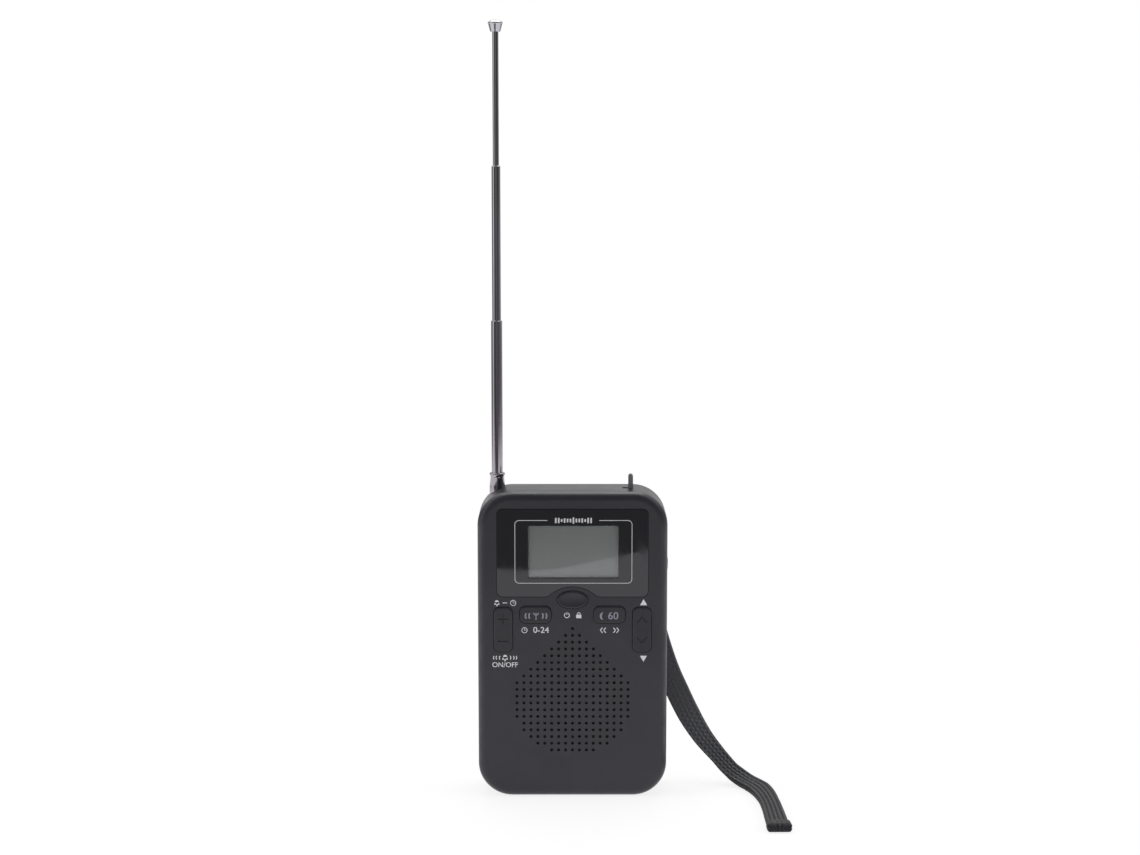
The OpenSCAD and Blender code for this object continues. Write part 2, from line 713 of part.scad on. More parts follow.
module ferrite_coil() color([0.62, 0.30, 0.12]) {
    difference() {
        translate([bar_x - coil_len / 2, bar_y + bar_t / 2, bar_z]) rotate([90, 0, 90])
            linear_extrude(coil_len)
                polygon(rounded(bar_t + 2 * coil_t, bar_h + 2 * coil_t, coil_t));
        box(bar_x - coil_len, bar_x + coil_len, bar_y, bar_y + bar_t, bar_z - bar_h / 2, bar_z + bar_h / 2);
    }
}

// Turns a profile drawn from the speaker's axis outwards and from its face back
module speaker_turn() {
    translate([0, front_in_y + cloth_t, speaker_z]) rotate([-90, 0, 0]) rotate_extrude() children();
}

module speaker_frame() color(steel) {
    difference() {
        speaker_turn() polygon([[cone_r, 0], [speaker_r, 0], [speaker_r, 0.6], [cone_r + 0.5, 0.6],
            [magnet_r + 1.6, basket + 0.5], [magnet_r - 1, basket + 0.5], [magnet_r - 1, basket],
            [magnet_r + 1.3, basket], [cone_r, 0.55]]);
        for (i = [0:5]) let (a = 60 * i, r = (cone_r + magnet_r) / 2 + 0.4)
            rod_y(r * cos(a), speaker_z + r * sin(a), window_r, front_in_y, front_in_y + speaker_depth);
    }
    box(terminal_x - 1.6, terminal_x + 1.6, front_in_y + cloth_t + 0.65, terminal_y,
        terminal_z - 0.8, terminal_z + 0.8);
}

module speaker_magnet() color([0.25, 0.25, 0.27]) {
    speaker_turn() translate([0, basket + 0.5]) square([magnet_r, speaker_depth - basket - 0.5]);
}

module speaker_cone() color([0.08, 0.08, 0.09]) {
    speaker_turn() polygon([[0, 0.5], [3.4, 1], [4.6, 1.5], [cone_r - 2.6, 0.35], [cone_r - 1.3, 0.1],
        [cone_r, 0.35], [cone_r, 0.55], [cone_r - 1.3, 0.3], [cone_r - 2.6, 0.55], [4.6, 1.75],
        [4.6, basket + 0.3], [4.3, basket + 0.3], [4.3, 1.7], [3.3, 1.25], [0, 0.75]]);
}

module grille_cloth() color([0.05, 0.05, 0.05]) {
    rod_y(0, speaker_z, speaker_r, front_in_y, front_in_y + cloth_t);
}

// A cell standing on z = 0 with its terminal up
module cell() {
    cylinder(r = cell_r, h = cell_len - nub_h);
    cylinder(r = nub_r, h = cell_len);
}

module battery_cell_left() color([0.75, 0.62, 0.30]) {
    translate([-cell_x, cell_y, bay_z + plate_t + spring_len]) cell();
}

module battery_cell_right() color([0.75, 0.62, 0.30]) {
    translate([cell_x, cell_y, bay_top - plate_t - spring_len]) mirror([0, 0, 1]) cell();
}

// Conical spring standing on z = 0, its wire touching both ends
module cell_spring() {
    wire = 0.35;
    turns = 3.5;
    steps = 12;
    sweep(wire_rings([for (i = [0:turns * steps]) let (s = i / (turns * steps), a = 360 * i / steps, r = 3.4 - 1.1 * s)
        [r * cos(a), r * sin(a), wire * cos(30) + (spring_len - 2 * wire * cos(30)) * s]], wire, 6, [0, 0, 1]));
}

module battery_springs() color(chrome) {
    translate([-cell_x, cell_y, bay_z + plate_t]) cell_spring();
    translate([cell_x, cell_y, bay_top - plate_t]) mirror([0, 0, 1]) cell_spring();
}

module stud() {
    cylinder(r = 1.6, h = stud_h);
}

module battery_plates() color(chrome) {
    y0 = cell_y - 4;
    y1 = cell_y + 4;
    box(-cell_x - 4, cell_x + 4, y0, y1, bay_z, bay_z + plate_t);
    translate([cell_x, cell_y, bay_z + plate_t]) stud();
    for (side = [-1, 1]) box(side * cell_x - 4, side * cell_x + 4, y0, y1, bay_top - plate_t, bay_top);
    translate([-cell_x, cell_y, bay_top - plate_t - stud_h]) stud();
    for (side = [-1, 1]) box(side * tail_x - 0.8, side * tail_x + 0.8, tail_y - plate_t / 2, tail_y + plate_t / 2,
        bay_top - plate_t, tail_top);
}

// Pan-head screw along Y, its head's seat at y
module pan_screw(y, r, length, head_r, head_t) {
    rod_y(0, 0, r, y - length, y);
    difference() {
        rod_y(0, 0, head_r, y, y + head_t);
        for (turn = [0, 90]) translate([0, y + head_t, 0]) rotate([0, turn, 0])
            cube([head_r * 1.3, head_t, head_r * 0.3], center = true);
    }
}

module case_screws() color(steel) {
    at_case_screws() pan_screw(seat_y, screw_r, screw_len, screw_head_r, screw_head_t);
}

module board_screws() color(steel) {
    at_board_screws() pan_screw(board_back_y, small_screw_r, small_screw_len, small_head_r, small_head_t);
}

// Tube with a rolled lip round its top, from z0 to z1
module tube(r, inner_r, lip_inner_r, z0, z1) {
    curl = min(lip_h / 2, 0.9 * (r - lip_inner_r));
    translate([0, 0, z0]) rotate_extrude() polygon(concat(
        [[inner_r, 0], [r, 0]], arc(r - curl, z1 - z0 - curl, curl, 0, 90, 6),
        [[lip_inner_r, z1 - z0], [lip_inner_r, z1 - z0 - lip_h], [inner_r, z1 - z0 - lip_h]]));
}

module at_antenna() {
    translate([-mast_x, mast_y, 0]) children();
}

// Wider foot of a sliding tube, which runs in the bore of the tube below
module foot(r, inner_r, z0) {
    translate([0, 0, z0]) difference() {
        cylinder(r = r, h = foot_len);
        translate([0, 0, -over]) cylinder(r = inner_r, h = foot_len + 2 * over);
    }
}

module antenna_mast() color(chrome) at_antenna() {
    tube(mast_d / 2, mast_inner_r, lower_d / 2 + running, mast_bottom, mast_top);
    translate([0, 0, mast_bottom]) cylinder(r = mast_inner_r, h = mast_plug);
    difference() {                              // lug that the screw holds
        box(-mast_d / 2, mast_d / 2, -lug_t / 2, lug_t / 2, mast_bottom - lug_len, mast_bottom);
        rod_y(0, lug_hole_z, small_screw_r + 0.1, -over, over);
    }
}

module antenna_screw() color(steel) {
    translate([-mast_x, 0, lug_hole_z]) mirror([0, 1, 0])
        pan_screw(-mast_y + lug_t / 2, small_screw_r, 3.2, small_head_r, small_head_t);
}

module antenna_lower_tube() color(chrome) at_antenna() {
    tube(lower_d / 2, lower_inner_r, middle_d / 2 + running, lower_z, lower_top);
    foot(mast_inner_r - running, lower_inner_r, lower_z);
}

module antenna_middle_tube() color(chrome) at_antenna() {
    tube(middle_d / 2, middle_inner_r, tip_d / 2 + running, middle_z, middle_top);
    foot(lower_inner_r - running, middle_inner_r, middle_z);
}

module antenna_tip_rod() color(chrome) at_antenna() {
    translate([0, 0, tip_z]) cylinder(r = tip_d / 2, h = knob_z + knob_hole - tip_z);
    translate([0, 0, tip_z]) cylinder(r = middle_inner_r - running, h = foot_len);
}

module antenna_knob() color(chrome) at_antenna() translate([0, 0, knob_z]) difference() {
    rotate_extrude() polygon(concat([[0, 0], [1.7, 0], [knob_d / 2 - 0.15, knob_h - 1.3]],
        [for (i = [0:8]) let (a = 90 * i / 8) [knob_d / 2 * cos(a), knob_h - 1.1 + 1.1 * sin(a)]]));
    translate([0, 0, -over]) cylinder(r = tip_d / 2, h = knob_hole + over);
}

module key_outline(shape, grow) {
    if (shape == "oval") power_outline(grow);
    if (shape == "mode") mode_key_outline(grow);
    if (shape == "rocker") rocker_outline(grow);
}

// Key cap with rounded front edges, reaching back to a depth
module key_cap(shape, back) {
    hull() for (turn = [0, 30, 60, 90])
        upright(front_y - key_proud + key_edge * (1 - sin(turn)), back)
            key_outline(shape, key_edge * (cos(turn) - 1));
}

module push_key(shape, x, z) {
    translate([x, 0, z]) {
        key_cap(shape, front_in_y + 0.3);
        upright(front_in_y + 0.05, front_in_y + 0.05 + flange_t) key_outline(shape, flange);
        rod_y(0, 0, pusher_r, front_in_y + 0.3, key_tip_y);
    }
}

module rocker(side) {
    translate([side * rocker_x, 0, rocker_z]) {
        key_cap("rocker", rocker_axis_y);
        box(-rocker_w / 2, rocker_w / 2, front_in_y, rocker_axis_y + 0.2, -rocker_pad - 1.2, rocker_pad + 1.2);
        rod_x(-rocker_w / 2 - flange - 1, rocker_w / 2 + flange + 1, rocker_axis_y, 0, rocker_pin_r);
        for (end = [-1, 1]) rod_y(0, end * rocker_pad, pusher_r, rocker_axis_y, rocker_tip_y);
    }
}

// Grooves in the face of a rocker, at a distance from its middle
module mark(side, up) {
    upright(front_y - over, front_y - key_proud + mark_depth)
        translate([side * rocker_x, rocker_z + up]) children();
}

module volume_rocker() color(key_colour) {
    difference() {
        rocker(-1);
        for (up = [-3.9, 3.7]) mark(-1, up) square([3.5, mark_line], center = true);
        mark(-1, 3.7) square([mark_line, 3.5], center = true);
    }
}

module chevron() {
    for (side = [0, 1]) mirror([side, 0])
        polygon([[0, 1.2], [0, 0.75], [1.55, -1.15], [1.82, -0.92]]);
}

module tuning_rocker() color(key_colour) {
    difference() {
        rocker(1);
        for (flip = [0, 1]) mark(1, 0) mirror([0, flip]) translate([0, 3.5]) chevron();
    }
}

module band_key() color(key_colour) push_key("mode", -key_x, mode_key_z);
module sleep_key() color(key_colour) push_key("mode", key_x, mode_key_z);

// The power key has a finger dish with a pip that the finger feels
module power_key() color(key_colour) {
    half = power_h / 2 - dish_rim;
    dish_r = (half * half + dish_depth * dish_depth) / 2 / dish_depth;
    floor_y = front_y - key_proud + dish_depth;
    difference() {
        push_key("oval", 0, power_z);
        intersection() {
            upright(front_y - 2 * over, front_y) translate([0, power_z]) power_outline(-dish_rim);
            rod_x(-power_w / 2, power_w / 2, floor_y - dish_r, power_z, dish_r);
        }
    }
    translate([0, floor_y + pip_r / 3, power_z - half / 2]) sphere(r = pip_r);
}

module wire(route, r) {
    sweep(wire_rings(route, r));
}

module speaker_wires() color([0.75, 0.10, 0.08]) {
    z = board_z + 12;
    y = board_back_y;
    for (x = [terminal_x - 0.8, terminal_x + 0.8])
        wire([[x, terminal_y, terminal_z], [x, terminal_y + 1, terminal_z], [x, y + 0.6, terminal_z + 1.6],
            [x, y + 1.2, board_z - 1.5], [x, y + 1.3, board_z + 3], [x, y + 1.3, z - 3],
            [x, y + 1.2, z - 1.2], [x, y + 0.9, z], [x, y, z]], wire_r);
}

module battery_wires() color([0.10, 0.10, 0.10]) {
    end = max(tail_top + 3, board_z + 2);
    for (side = [-1, 1]) let (x = side * tail_x)
        wire([[x, tail_y, tail_top], [x, tail_y, tail_top + 0.8], [x, tail_y - 0.9, tail_top + 2],
            [x, board_back_y + 2.6, end - 0.2], [x, board_back_y + 1, end], [x, board_back_y, end]], wire_r);
}

module antenna_wire() color([0.85, 0.80, 0.20]) {
    x = -mast_x;
    z = mast_bottom - 1.3;
    end = max(z + 8, board_z + 2);
    wire([[x, mast_y - lug_t / 2, z], [x, mast_y - 1.6, z], [x, mast_y - 3.3, z + 1.2],
        [x, mast_y - 4.9, z + 3.6], [x, board_back_y + 2.8, end - 1.6], [x, board_back_y + 1.2, end],
        [x, board_back_y, end]], wire_r);
}

module strap_pin() color(steel) {
    rod_x(pocket_x - pocket_w / 2 - pocket_wall, pocket_x + pocket_w / 2 + pocket_wall, pin_y, pin_z, pin_r);
}

module wrist_strap() color([0.16, 0.16, 0.17]) {
    facing = [for (s = strap_turn) unit([0, -(1 - s), s])];
    sweep(band_rings(strap_route, strap_w, strap_t, facing, strap_gather, strap_fold));
}

front_shell();
rear_shell();
battery_door();
display_lens();
lcd_panel();
lcd_holder();
zebra_strip();
main_board();
board_components();
tact_switches();
slide_switch();
switch_lever();
earphone_jack();
ferrite_bar();
ferrite_coil();
speaker_frame();
speaker_magnet();
speaker_cone();
grille_cloth();
battery_cell_left();
battery_cell_right();
battery_springs();
battery_plates();
case_screws();
board_screws();
antenna_mast();
antenna_screw();
antenna_lower_tube();
antenna_middle_tube();
antenna_tip_rod();
antenna_knob();
volume_rocker();
tuning_rocker();
band_key();
power_key();
sleep_key();
speaker_wires();
battery_wires();
antenna_wire();
strap_pin();
wrist_strap();
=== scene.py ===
"""Dresses a pocket radio: case, display, printed marks, antenna, strap and studio."""

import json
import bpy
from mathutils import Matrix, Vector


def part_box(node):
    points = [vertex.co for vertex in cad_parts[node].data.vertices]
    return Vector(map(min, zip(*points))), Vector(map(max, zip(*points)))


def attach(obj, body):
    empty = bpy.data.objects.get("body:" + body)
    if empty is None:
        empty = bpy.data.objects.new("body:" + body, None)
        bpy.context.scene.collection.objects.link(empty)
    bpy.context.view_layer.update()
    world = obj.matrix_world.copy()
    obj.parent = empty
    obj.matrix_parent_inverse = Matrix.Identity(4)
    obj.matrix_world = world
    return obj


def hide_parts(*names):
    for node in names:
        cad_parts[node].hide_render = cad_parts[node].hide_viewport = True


bl_info = {
    "name": "Pocket Radio Finish",
    "version": (1, 0, 0),
    "blender": (4, 5, 0),
    "location": "3D View > Sidebar > Radio",
    "description": "Models a pocket radio's trim round its CAD parts, and finishes every part",
    "category": "Object",
}

from math import atan2, cos, degrees, hypot, pi, radians, sin, sqrt

import bmesh
import bpy
from mathutils import Vector

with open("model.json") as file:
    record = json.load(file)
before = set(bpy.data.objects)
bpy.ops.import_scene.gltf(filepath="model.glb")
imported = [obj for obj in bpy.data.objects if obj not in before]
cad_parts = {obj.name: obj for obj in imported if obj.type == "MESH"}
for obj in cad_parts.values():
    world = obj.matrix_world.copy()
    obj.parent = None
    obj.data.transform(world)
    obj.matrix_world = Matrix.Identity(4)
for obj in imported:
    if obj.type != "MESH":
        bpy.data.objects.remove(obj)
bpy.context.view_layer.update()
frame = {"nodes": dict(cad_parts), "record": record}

MM = 0.001
CASE = "case"

# Centre line of the strap, from its pin over the back and down to the table, in metres
STRAP_ROUTE = [
    (0.024, 0.0094, 0.0698), (0.0243, 0.0115, 0.0674), (0.0256, 0.0122, 0.0634),
    (0.0273, 0.0124, 0.058), (0.0291, 0.0124, 0.052), (0.0309, 0.0123, 0.046),
    (0.0335, 0.012, 0.0385), (0.0368, 0.0114, 0.031), (0.0408, 0.0105, 0.023),
    (0.0454, 0.0088, 0.0158), (0.0509, 0.0072, 0.0093), (0.0554, 0.0052, 0.0046),
    (0.0598, 0.0023, 0.0019), (0.0633, -0.0026, 0.0012), (0.0652, -0.0095, 0.00105),
    (0.0662, -0.018, 0.00105), (0.0666, -0.027, 0.00105), (0.0667, -0.036, 0.00105),
    (0.0668, -0.0436, 0.00105), (0.06685, -0.0452, 0.00155), (0.0669, -0.0484, 0.00155),
]
# Share of each point's flat side that has turned from facing forward to facing up
STRAP_TURN = [0] * 8 + [0.03, 0.1, 0.25, 0.5, 0.85] + [1] * 8
# Width at each point: the webbing gathers where it twists, and spreads where it folds
STRAP_GATHER = [1] * 6 + [1.01, 1.03, 1, 0.88, 0.75, 0.75, 1, 1.15, 1, 0.88, 0.88, 0.91, 0.94,
                          1.02, 1.04]
# Thickness at each point: the sewn end is folded over
STRAP_FOLD = [1] * 19 + [1.5] * 2
STRAP_TIP = 1.4 * MM          # length of its rounded end
RIBS = 5
RIBS_BEGIN, RIBS_GROW = 0.33, 0.27      # shares of its length: without ribs, and where they deepen
LOWER_PLY = 20                # step in UV between its faces
# Bead and waist of the mast: millimetres below its mouth, and share of the full width
BEAD = [(0.55, 1), (0.9, 0.97), (1.15, 0.91), (1.4, 0.88), (4.6, 1)]
VIEW_HALF = (15.15 * MM, 8.9 * MM)      # half width and half height of the display's view
PRINT_LIFT = 0.005 * MM       # gap between a face and the back of its print
MERGE_SPAN = 0.002 * MM       # points closer than this are one
WHITE = (1, 1, 1, 1)

# Camera: place in metres, tilt in degrees, sensor width and focal length in millimetres
CAMERA_PLACE = (-0.848 * MM, -0.715, 0.2198)
CAMERA_TILT = 90 - 7.508
SENSOR_WIDTH, FOCAL_LENGTH = 36.0, 67.345263
# Soft boxes: place, turn in degrees, size, power, and whether bright metal mirrors them
SOFTBOXES = {
    "Top Softbox": ((0.0, 0.45, 1.2), (-18, 0, 0), 0.9, 6.8, True),
    "Left Softbox": ((-1.0, -0.1, 0.45), (75, 0, -84), 0.7, 8.2, False),
    "Right Softbox": ((1.0, -0.1, 0.45), (75, 0, 84), 0.7, 6.3, False),
}
# Levels that bright metal mirrors, from straight behind the radio (0) to straight in front (1)
LEFT_WALL = ((0.0, 0.8), (0.1, 0.3), (0.3, 0.1), (0.45, 0.13), (0.52, 0.65), (0.56, 0.9),
             (0.73, 0.85), (0.79, 0.1), (0.9, 0.06), (0.95, 0.11), (1.0, 0.17))
RIGHT_WALL = ((0.0, 0.85), (0.12, 0.45), (0.35, 0.36), (0.5, 0.16), (0.7, 0.1), (0.79, 0.05),
              (0.92, 0.06), (1.0, 0.17))


# ---- settings


class RadioColours(bpy.types.PropertyGroup):
    """Colours of the parts that a user would change."""

    def tint(name, description, rgb):
        return bpy.props.FloatVectorProperty(
            name=name, description=description, subtype="COLOR", size=3, min=0, max=1, default=rgb)

    case: tint("Case", "Moulded case and battery door", (0.0120, 0.0123, 0.0165))
    keys: tint("Keys", "Push keys and rockers", (0.0108, 0.0110, 0.0150))
    lens: tint("Lens", "Printed back of the display window", (0.0045, 0.0048, 0.0055))
    display: tint("Display", "Liquid crystal seen through the window", (0.295, 0.310, 0.302))
    print_ink: tint("Print", "Marks printed on the case", (0.62, 0.62, 0.64))
    key_ink: tint("Key print", "Marks printed on the keys", (0.25, 0.24, 0.30))
    webbing: tint("Webbing", "Yarn of the wrist strap", (0.034, 0.0345, 0.038))
    chrome: tint("Chrome", "Antenna plating", (0.52, 0.52, 0.535))
    lever: tint("Lever", "Slide switch lever", (0.11, 0.11, 0.12))


class RadioSizes(bpy.types.PropertyGroup):
    """Sizes of the trim that a user would change."""

    def length(name, description, metres):
        return bpy.props.FloatProperty(
            name=name, description=description, unit="LENGTH", min=0, precision=5, default=metres)

    print_height: length("Mark height", "Height of a printed mark", 2.2 * MM)
    print_thickness: length("Print thickness", "How far print stands off its face", 0.025 * MM)
    line_width: length("Frame line", "Width of the line round the display", 0.2 * MM)
    strap_width: length("Strap width", "Width of the webbing", 7.9 * MM)
    strap_thickness: length("Strap thickness", "Thickness of both plies", 2.0 * MM)
    rib_depth: length("Rib depth", "Depth of the grooves between the ribs", 0.42 * MM)


# ---- modelling by operator


def leave():
    """Goes back to object mode."""
    bpy.ops.object.mode_set(mode="OBJECT")


def deselect():
    """Leaves edit mode and selects nothing."""
    if bpy.context.object and bpy.context.object.mode != "OBJECT":
        leave()
    bpy.ops.object.select_all(action="DESELECT")


def pick(*objects):
    """Selects objects, the first of them active."""
    deselect()
    for item in objects:
        item.select_set(True)
    bpy.context.view_layer.objects.active = objects[0]


def settle():
    """Puts the selected objects' place, turn and scale into their meshes."""
    bpy.ops.object.transform_apply(location=True, rotation=True, scale=True)


def named(name):
    """Names the active object and settles it."""
    piece = bpy.context.object
    piece.name = piece.data.name = name
    settle()
    return piece


def modify(piece, kind, **values):
    """Adds a modifier and applies it."""
    pick(piece)
    modifier = piece.modifiers.new(kind.title(), kind)
    for key, value in values.items():
        setattr(modifier, key, value)
    bpy.ops.object.modifier_apply(modifier=modifier.name)


def edit(piece, mode="VERT", action="SELECT"):
    """Opens edit mode, with everything selected or nothing."""
    pick(piece)
    bpy.ops.object.mode_set(mode="EDIT")
    bpy.ops.mesh.select_mode(type=mode)
    bpy.ops.mesh.select_all(action=action)


def choose(piece, kind, test):
    """Opens edit mode and selects the vertices, edges or faces that pass a test."""
    edit(piece, kind, "DESELECT")
    leave()
    mesh = piece.data
    items, facts = {
        "VERT": (mesh.vertices, lambda item: [item.co]),
        "EDGE": (mesh.edges, lambda item: [mesh.vertices[i].co for i in item.vertices]),
        "FACE": (mesh.polygons, lambda item: [item.center, item.normal]),
    }[kind]
    for item in items:
        item.select = test(*facts(item))
    bpy.ops.object.mode_set(mode="EDIT")
    bpy.ops.mesh.select_mode(type=kind)


def stretch(piece, test, scale, centre):
    """Scales the vertices that pass a test about a point."""
    choose(piece, "VERT", test)
    bpy.ops.transform.resize(value=scale, center_override=centre)
    leave()


def outward(piece, span=MERGE_SPAN):
    """Merges doubled points and turns every face outwards."""
    edit(piece)
    bpy.ops.mesh.remove_doubles(threshold=span)
    bpy.ops.mesh.normals_make_consistent(inside=False)
    leave()
    return piece


def round_edges(piece, width, segments):
    """Rounds the sharp edges of a piece."""
    modify(piece, "BEVEL", width=width, segments=segments, limit_method="ANGLE",
           angle_limit=radians(50))


def smooth(piece, degrees=35):
    """Shades a piece smooth except across sharp edges."""
    pick(piece)
    bpy.ops.object.shade_smooth_by_angle(angle=radians(degrees))


def middle(name):
    """The middle of a CAD node's box."""
    return [(a + b) / 2 for a, b in zip(*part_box(name))]


def copy_node(name, piece_name):
    """Copies a CAD node's mesh into a new piece, and merges its doubled points."""
    pick(frame["nodes"][name])
    bpy.ops.object.duplicate()
    piece = bpy.context.object
    piece.name = piece.data.name = piece_name
    for key in list(piece.keys()):
        del piece[key]
    return outward(piece)


def dress(piece, finish, body):
    """Gives a new piece its material and body."""
    piece.data.materials.clear()
    piece.data.materials.append(finish)
    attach(piece, body)


def finish_nodes(names, finish):
    """Gives CAD nodes their material."""
    for name in names.split():
        slots = frame["nodes"][name].data.materials
        if not slots:
            slots.append(finish)
        for index in range(len(slots)):
            slots[index] = finish


# ---- flat marks, drawn on the XZ plane


def bar(x0, z0, x1, z1, width):
    """A straight stroke from one point to another."""
    length = hypot(x1 - x0, z1 - z0)
    bpy.ops.mesh.primitive_plane_add(size=1, location=((x0 + x1) / 2, 0, (z0 + z1) / 2))
    stroke = bpy.context.object
    stroke.scale = (length, width, 1)
    stroke.rotation_euler = (pi / 2, -atan2(z1 - z0, x1 - x0), 0)
    return named("stroke")


def bars(x, z, s, width, *ends):
    """Straight strokes: their ends are in shares of a mark's height, from its middle."""
    return [bar(x + a * s, z + b * s, x + c * s, z + d * s, width * s) for a, b, c, d in ends]


def disc(x, z, radius, corners=24):
    """A filled circle, or a regular shape with few corners."""
    bpy.ops.mesh.primitive_circle_add(vertices=corners, radius=radius, fill_type="NGON",
                                      location=(x, 0, z), rotation=(pi / 2, 0, 0))
    return named("disc")


def ring(x, z, radius, width, keep=None):
    """A circle's line. keep(angle in degrees) says which part of it stays."""
    shape = disc(x, z, radius, 36)
    edit(shape, "FACE")
    bpy.ops.mesh.inset(thickness=width)
    bpy.ops.mesh.delete(type="FACE")
    if keep:
        choose(shape, "FACE", lambda c, n: not keep(degrees(atan2(c.z - z, c.x - x)) % 360))
        bpy.ops.mesh.delete(type="FACE")
    leave()
    return shape


def bell(x, z, s):
    """An alarm bell."""
    cup = disc(x, z + 0.12 * s, 0.3 * s)
    skirt = bar(x, z + 0.12 * s, x, z - 0.28 * s, 0.6 * s)
    stretch(skirt, lambda p: p.z < z, (1.35, 1, 1), (x, 0, z))
    return [cup, skirt, disc(x, z - 0.42 * s, 0.1 * s)]


def padlock(x, z, s):
    """A closed padlock."""
    return [*bars(x, z, s, 0.8, (0, 0.1, 0, -0.45)),
            ring(x, z + 0.18 * s, 0.28 * s, 0.11 * s, lambda a: a < 180),
            *bars(x, z, s, 0.11, *((side, 0.05, side, 0.2) for side in (-0.225, 0.225)))]


def moon(x, z, s):
    """A crescent."""
    shape = disc(x, z, 0.45 * s, 40)
    stretch(shape, lambda p: p.x > x + 0.02 * s, (-0.45, 1, 1), (x, 0, z))
    return [shape]


def clock(x, z, s):
    """A clock face with two hands."""
    return [ring(x, z, 0.46 * s, 0.1 * s),
            *bars(x, z, s, 0.09, (0, -0.02, 0, 0.28), (-0.02, 0, 0.22, 0))]


def chevrons(x, z, s):
    """Two chevrons that point left and two that point right."""
    return bars(x, z, s, 0.14, *((side * tip, 0, side * (tip - 0.34), up * 0.4)
                                 for side in (-1, 1) for tip in (0.92, 1.42) for up in (-1, 1)))


def aerial(x, z, s):
    """An aerial: a mast with two arms."""
    return bars(x, z, s, 0.11, (0, -0.45, 0, 0.42), (0, 0, -0.34, 0.4), (0, 0, 0.34, 0.4))


def hum(x, z, s, shifts=(0.3, 0.66)):
    """Short curved lines that spread from both sides of a mark."""
    return [ring(x + side * shift * s, z, 0.5 * s, 0.14 * s,
                 lambda a, side=side: (a < 40 or a > 320) if side > 0 else 140 < a < 220)
            for side in (-1, 1) for shift in shifts]


def power_sign(x, z, s):
    """An open ring with a bar in its gap."""
    return [ring(x, z, 0.44 * s, 0.11 * s, lambda a: not 62 < a < 118),
            *bars(x, z, s, 0.11, (0, 0.06, 0, 0.48))]


def sound_bars(x, z, s, count=13):
    """A row of upright bars, each of its own height."""
    ends = []
    for i in range(count):
        off = i - (count - 1) / 2
        half = (0.68 + 0.2 * cos(2.3 * off) + 0.12 * cos(1.1 * off)) / 2
        ends.append((off * 0.47, -half, off * 0.47, half))
    return bars(x, z, s, 0.26, *ends)


def triangle(x, z, s, up=True):
    """A filled triangle."""
    shape = disc(x, z, 0.48 * s, 3)
    pick(shape)
    if not up:
        bpy.ops.transform.mirror(orient_type="GLOBAL", constraint_axis=(False, False, True),
                                 center_override=(x, 0, z))
        settle()
    return [shape]


def words(text, x, z, height):
    """Generic lettering, as flat mesh."""
    bpy.ops.object.text_add(location=(x, 0, z), rotation=(pi / 2, 0, 0))
    letters = bpy.context.object.data
    letters.body = text
    letters.align_x = letters.align_y = "CENTER"
    letters.size = height * 1.42
    letters.offset = height * 0.012
    bpy.ops.object.convert(target="MESH")
    return [named("lettering")]


def printed(name, strokes, face, finish, body):
    """Joins flat strokes into a thin print on a face that looks forward."""
    pick(*strokes)
    bpy.ops.object.join()
    mark = named(name)
    outward(mark, 2 * MERGE_SPAN)
    choose(mark, "FACE", lambda c, n: n.y > 0)
    bpy.ops.mesh.flip_normals()
    leave()
    modify(mark, "SOLIDIFY", thickness=bpy.context.scene.radio_sizes.print_thickness, offset=1)
    pick(mark)
    bpy.ops.transform.translate(value=(0, face + PRINT_LIFT, 0))
    settle()
    dress(mark, finish, body)


# ---- shader nodes


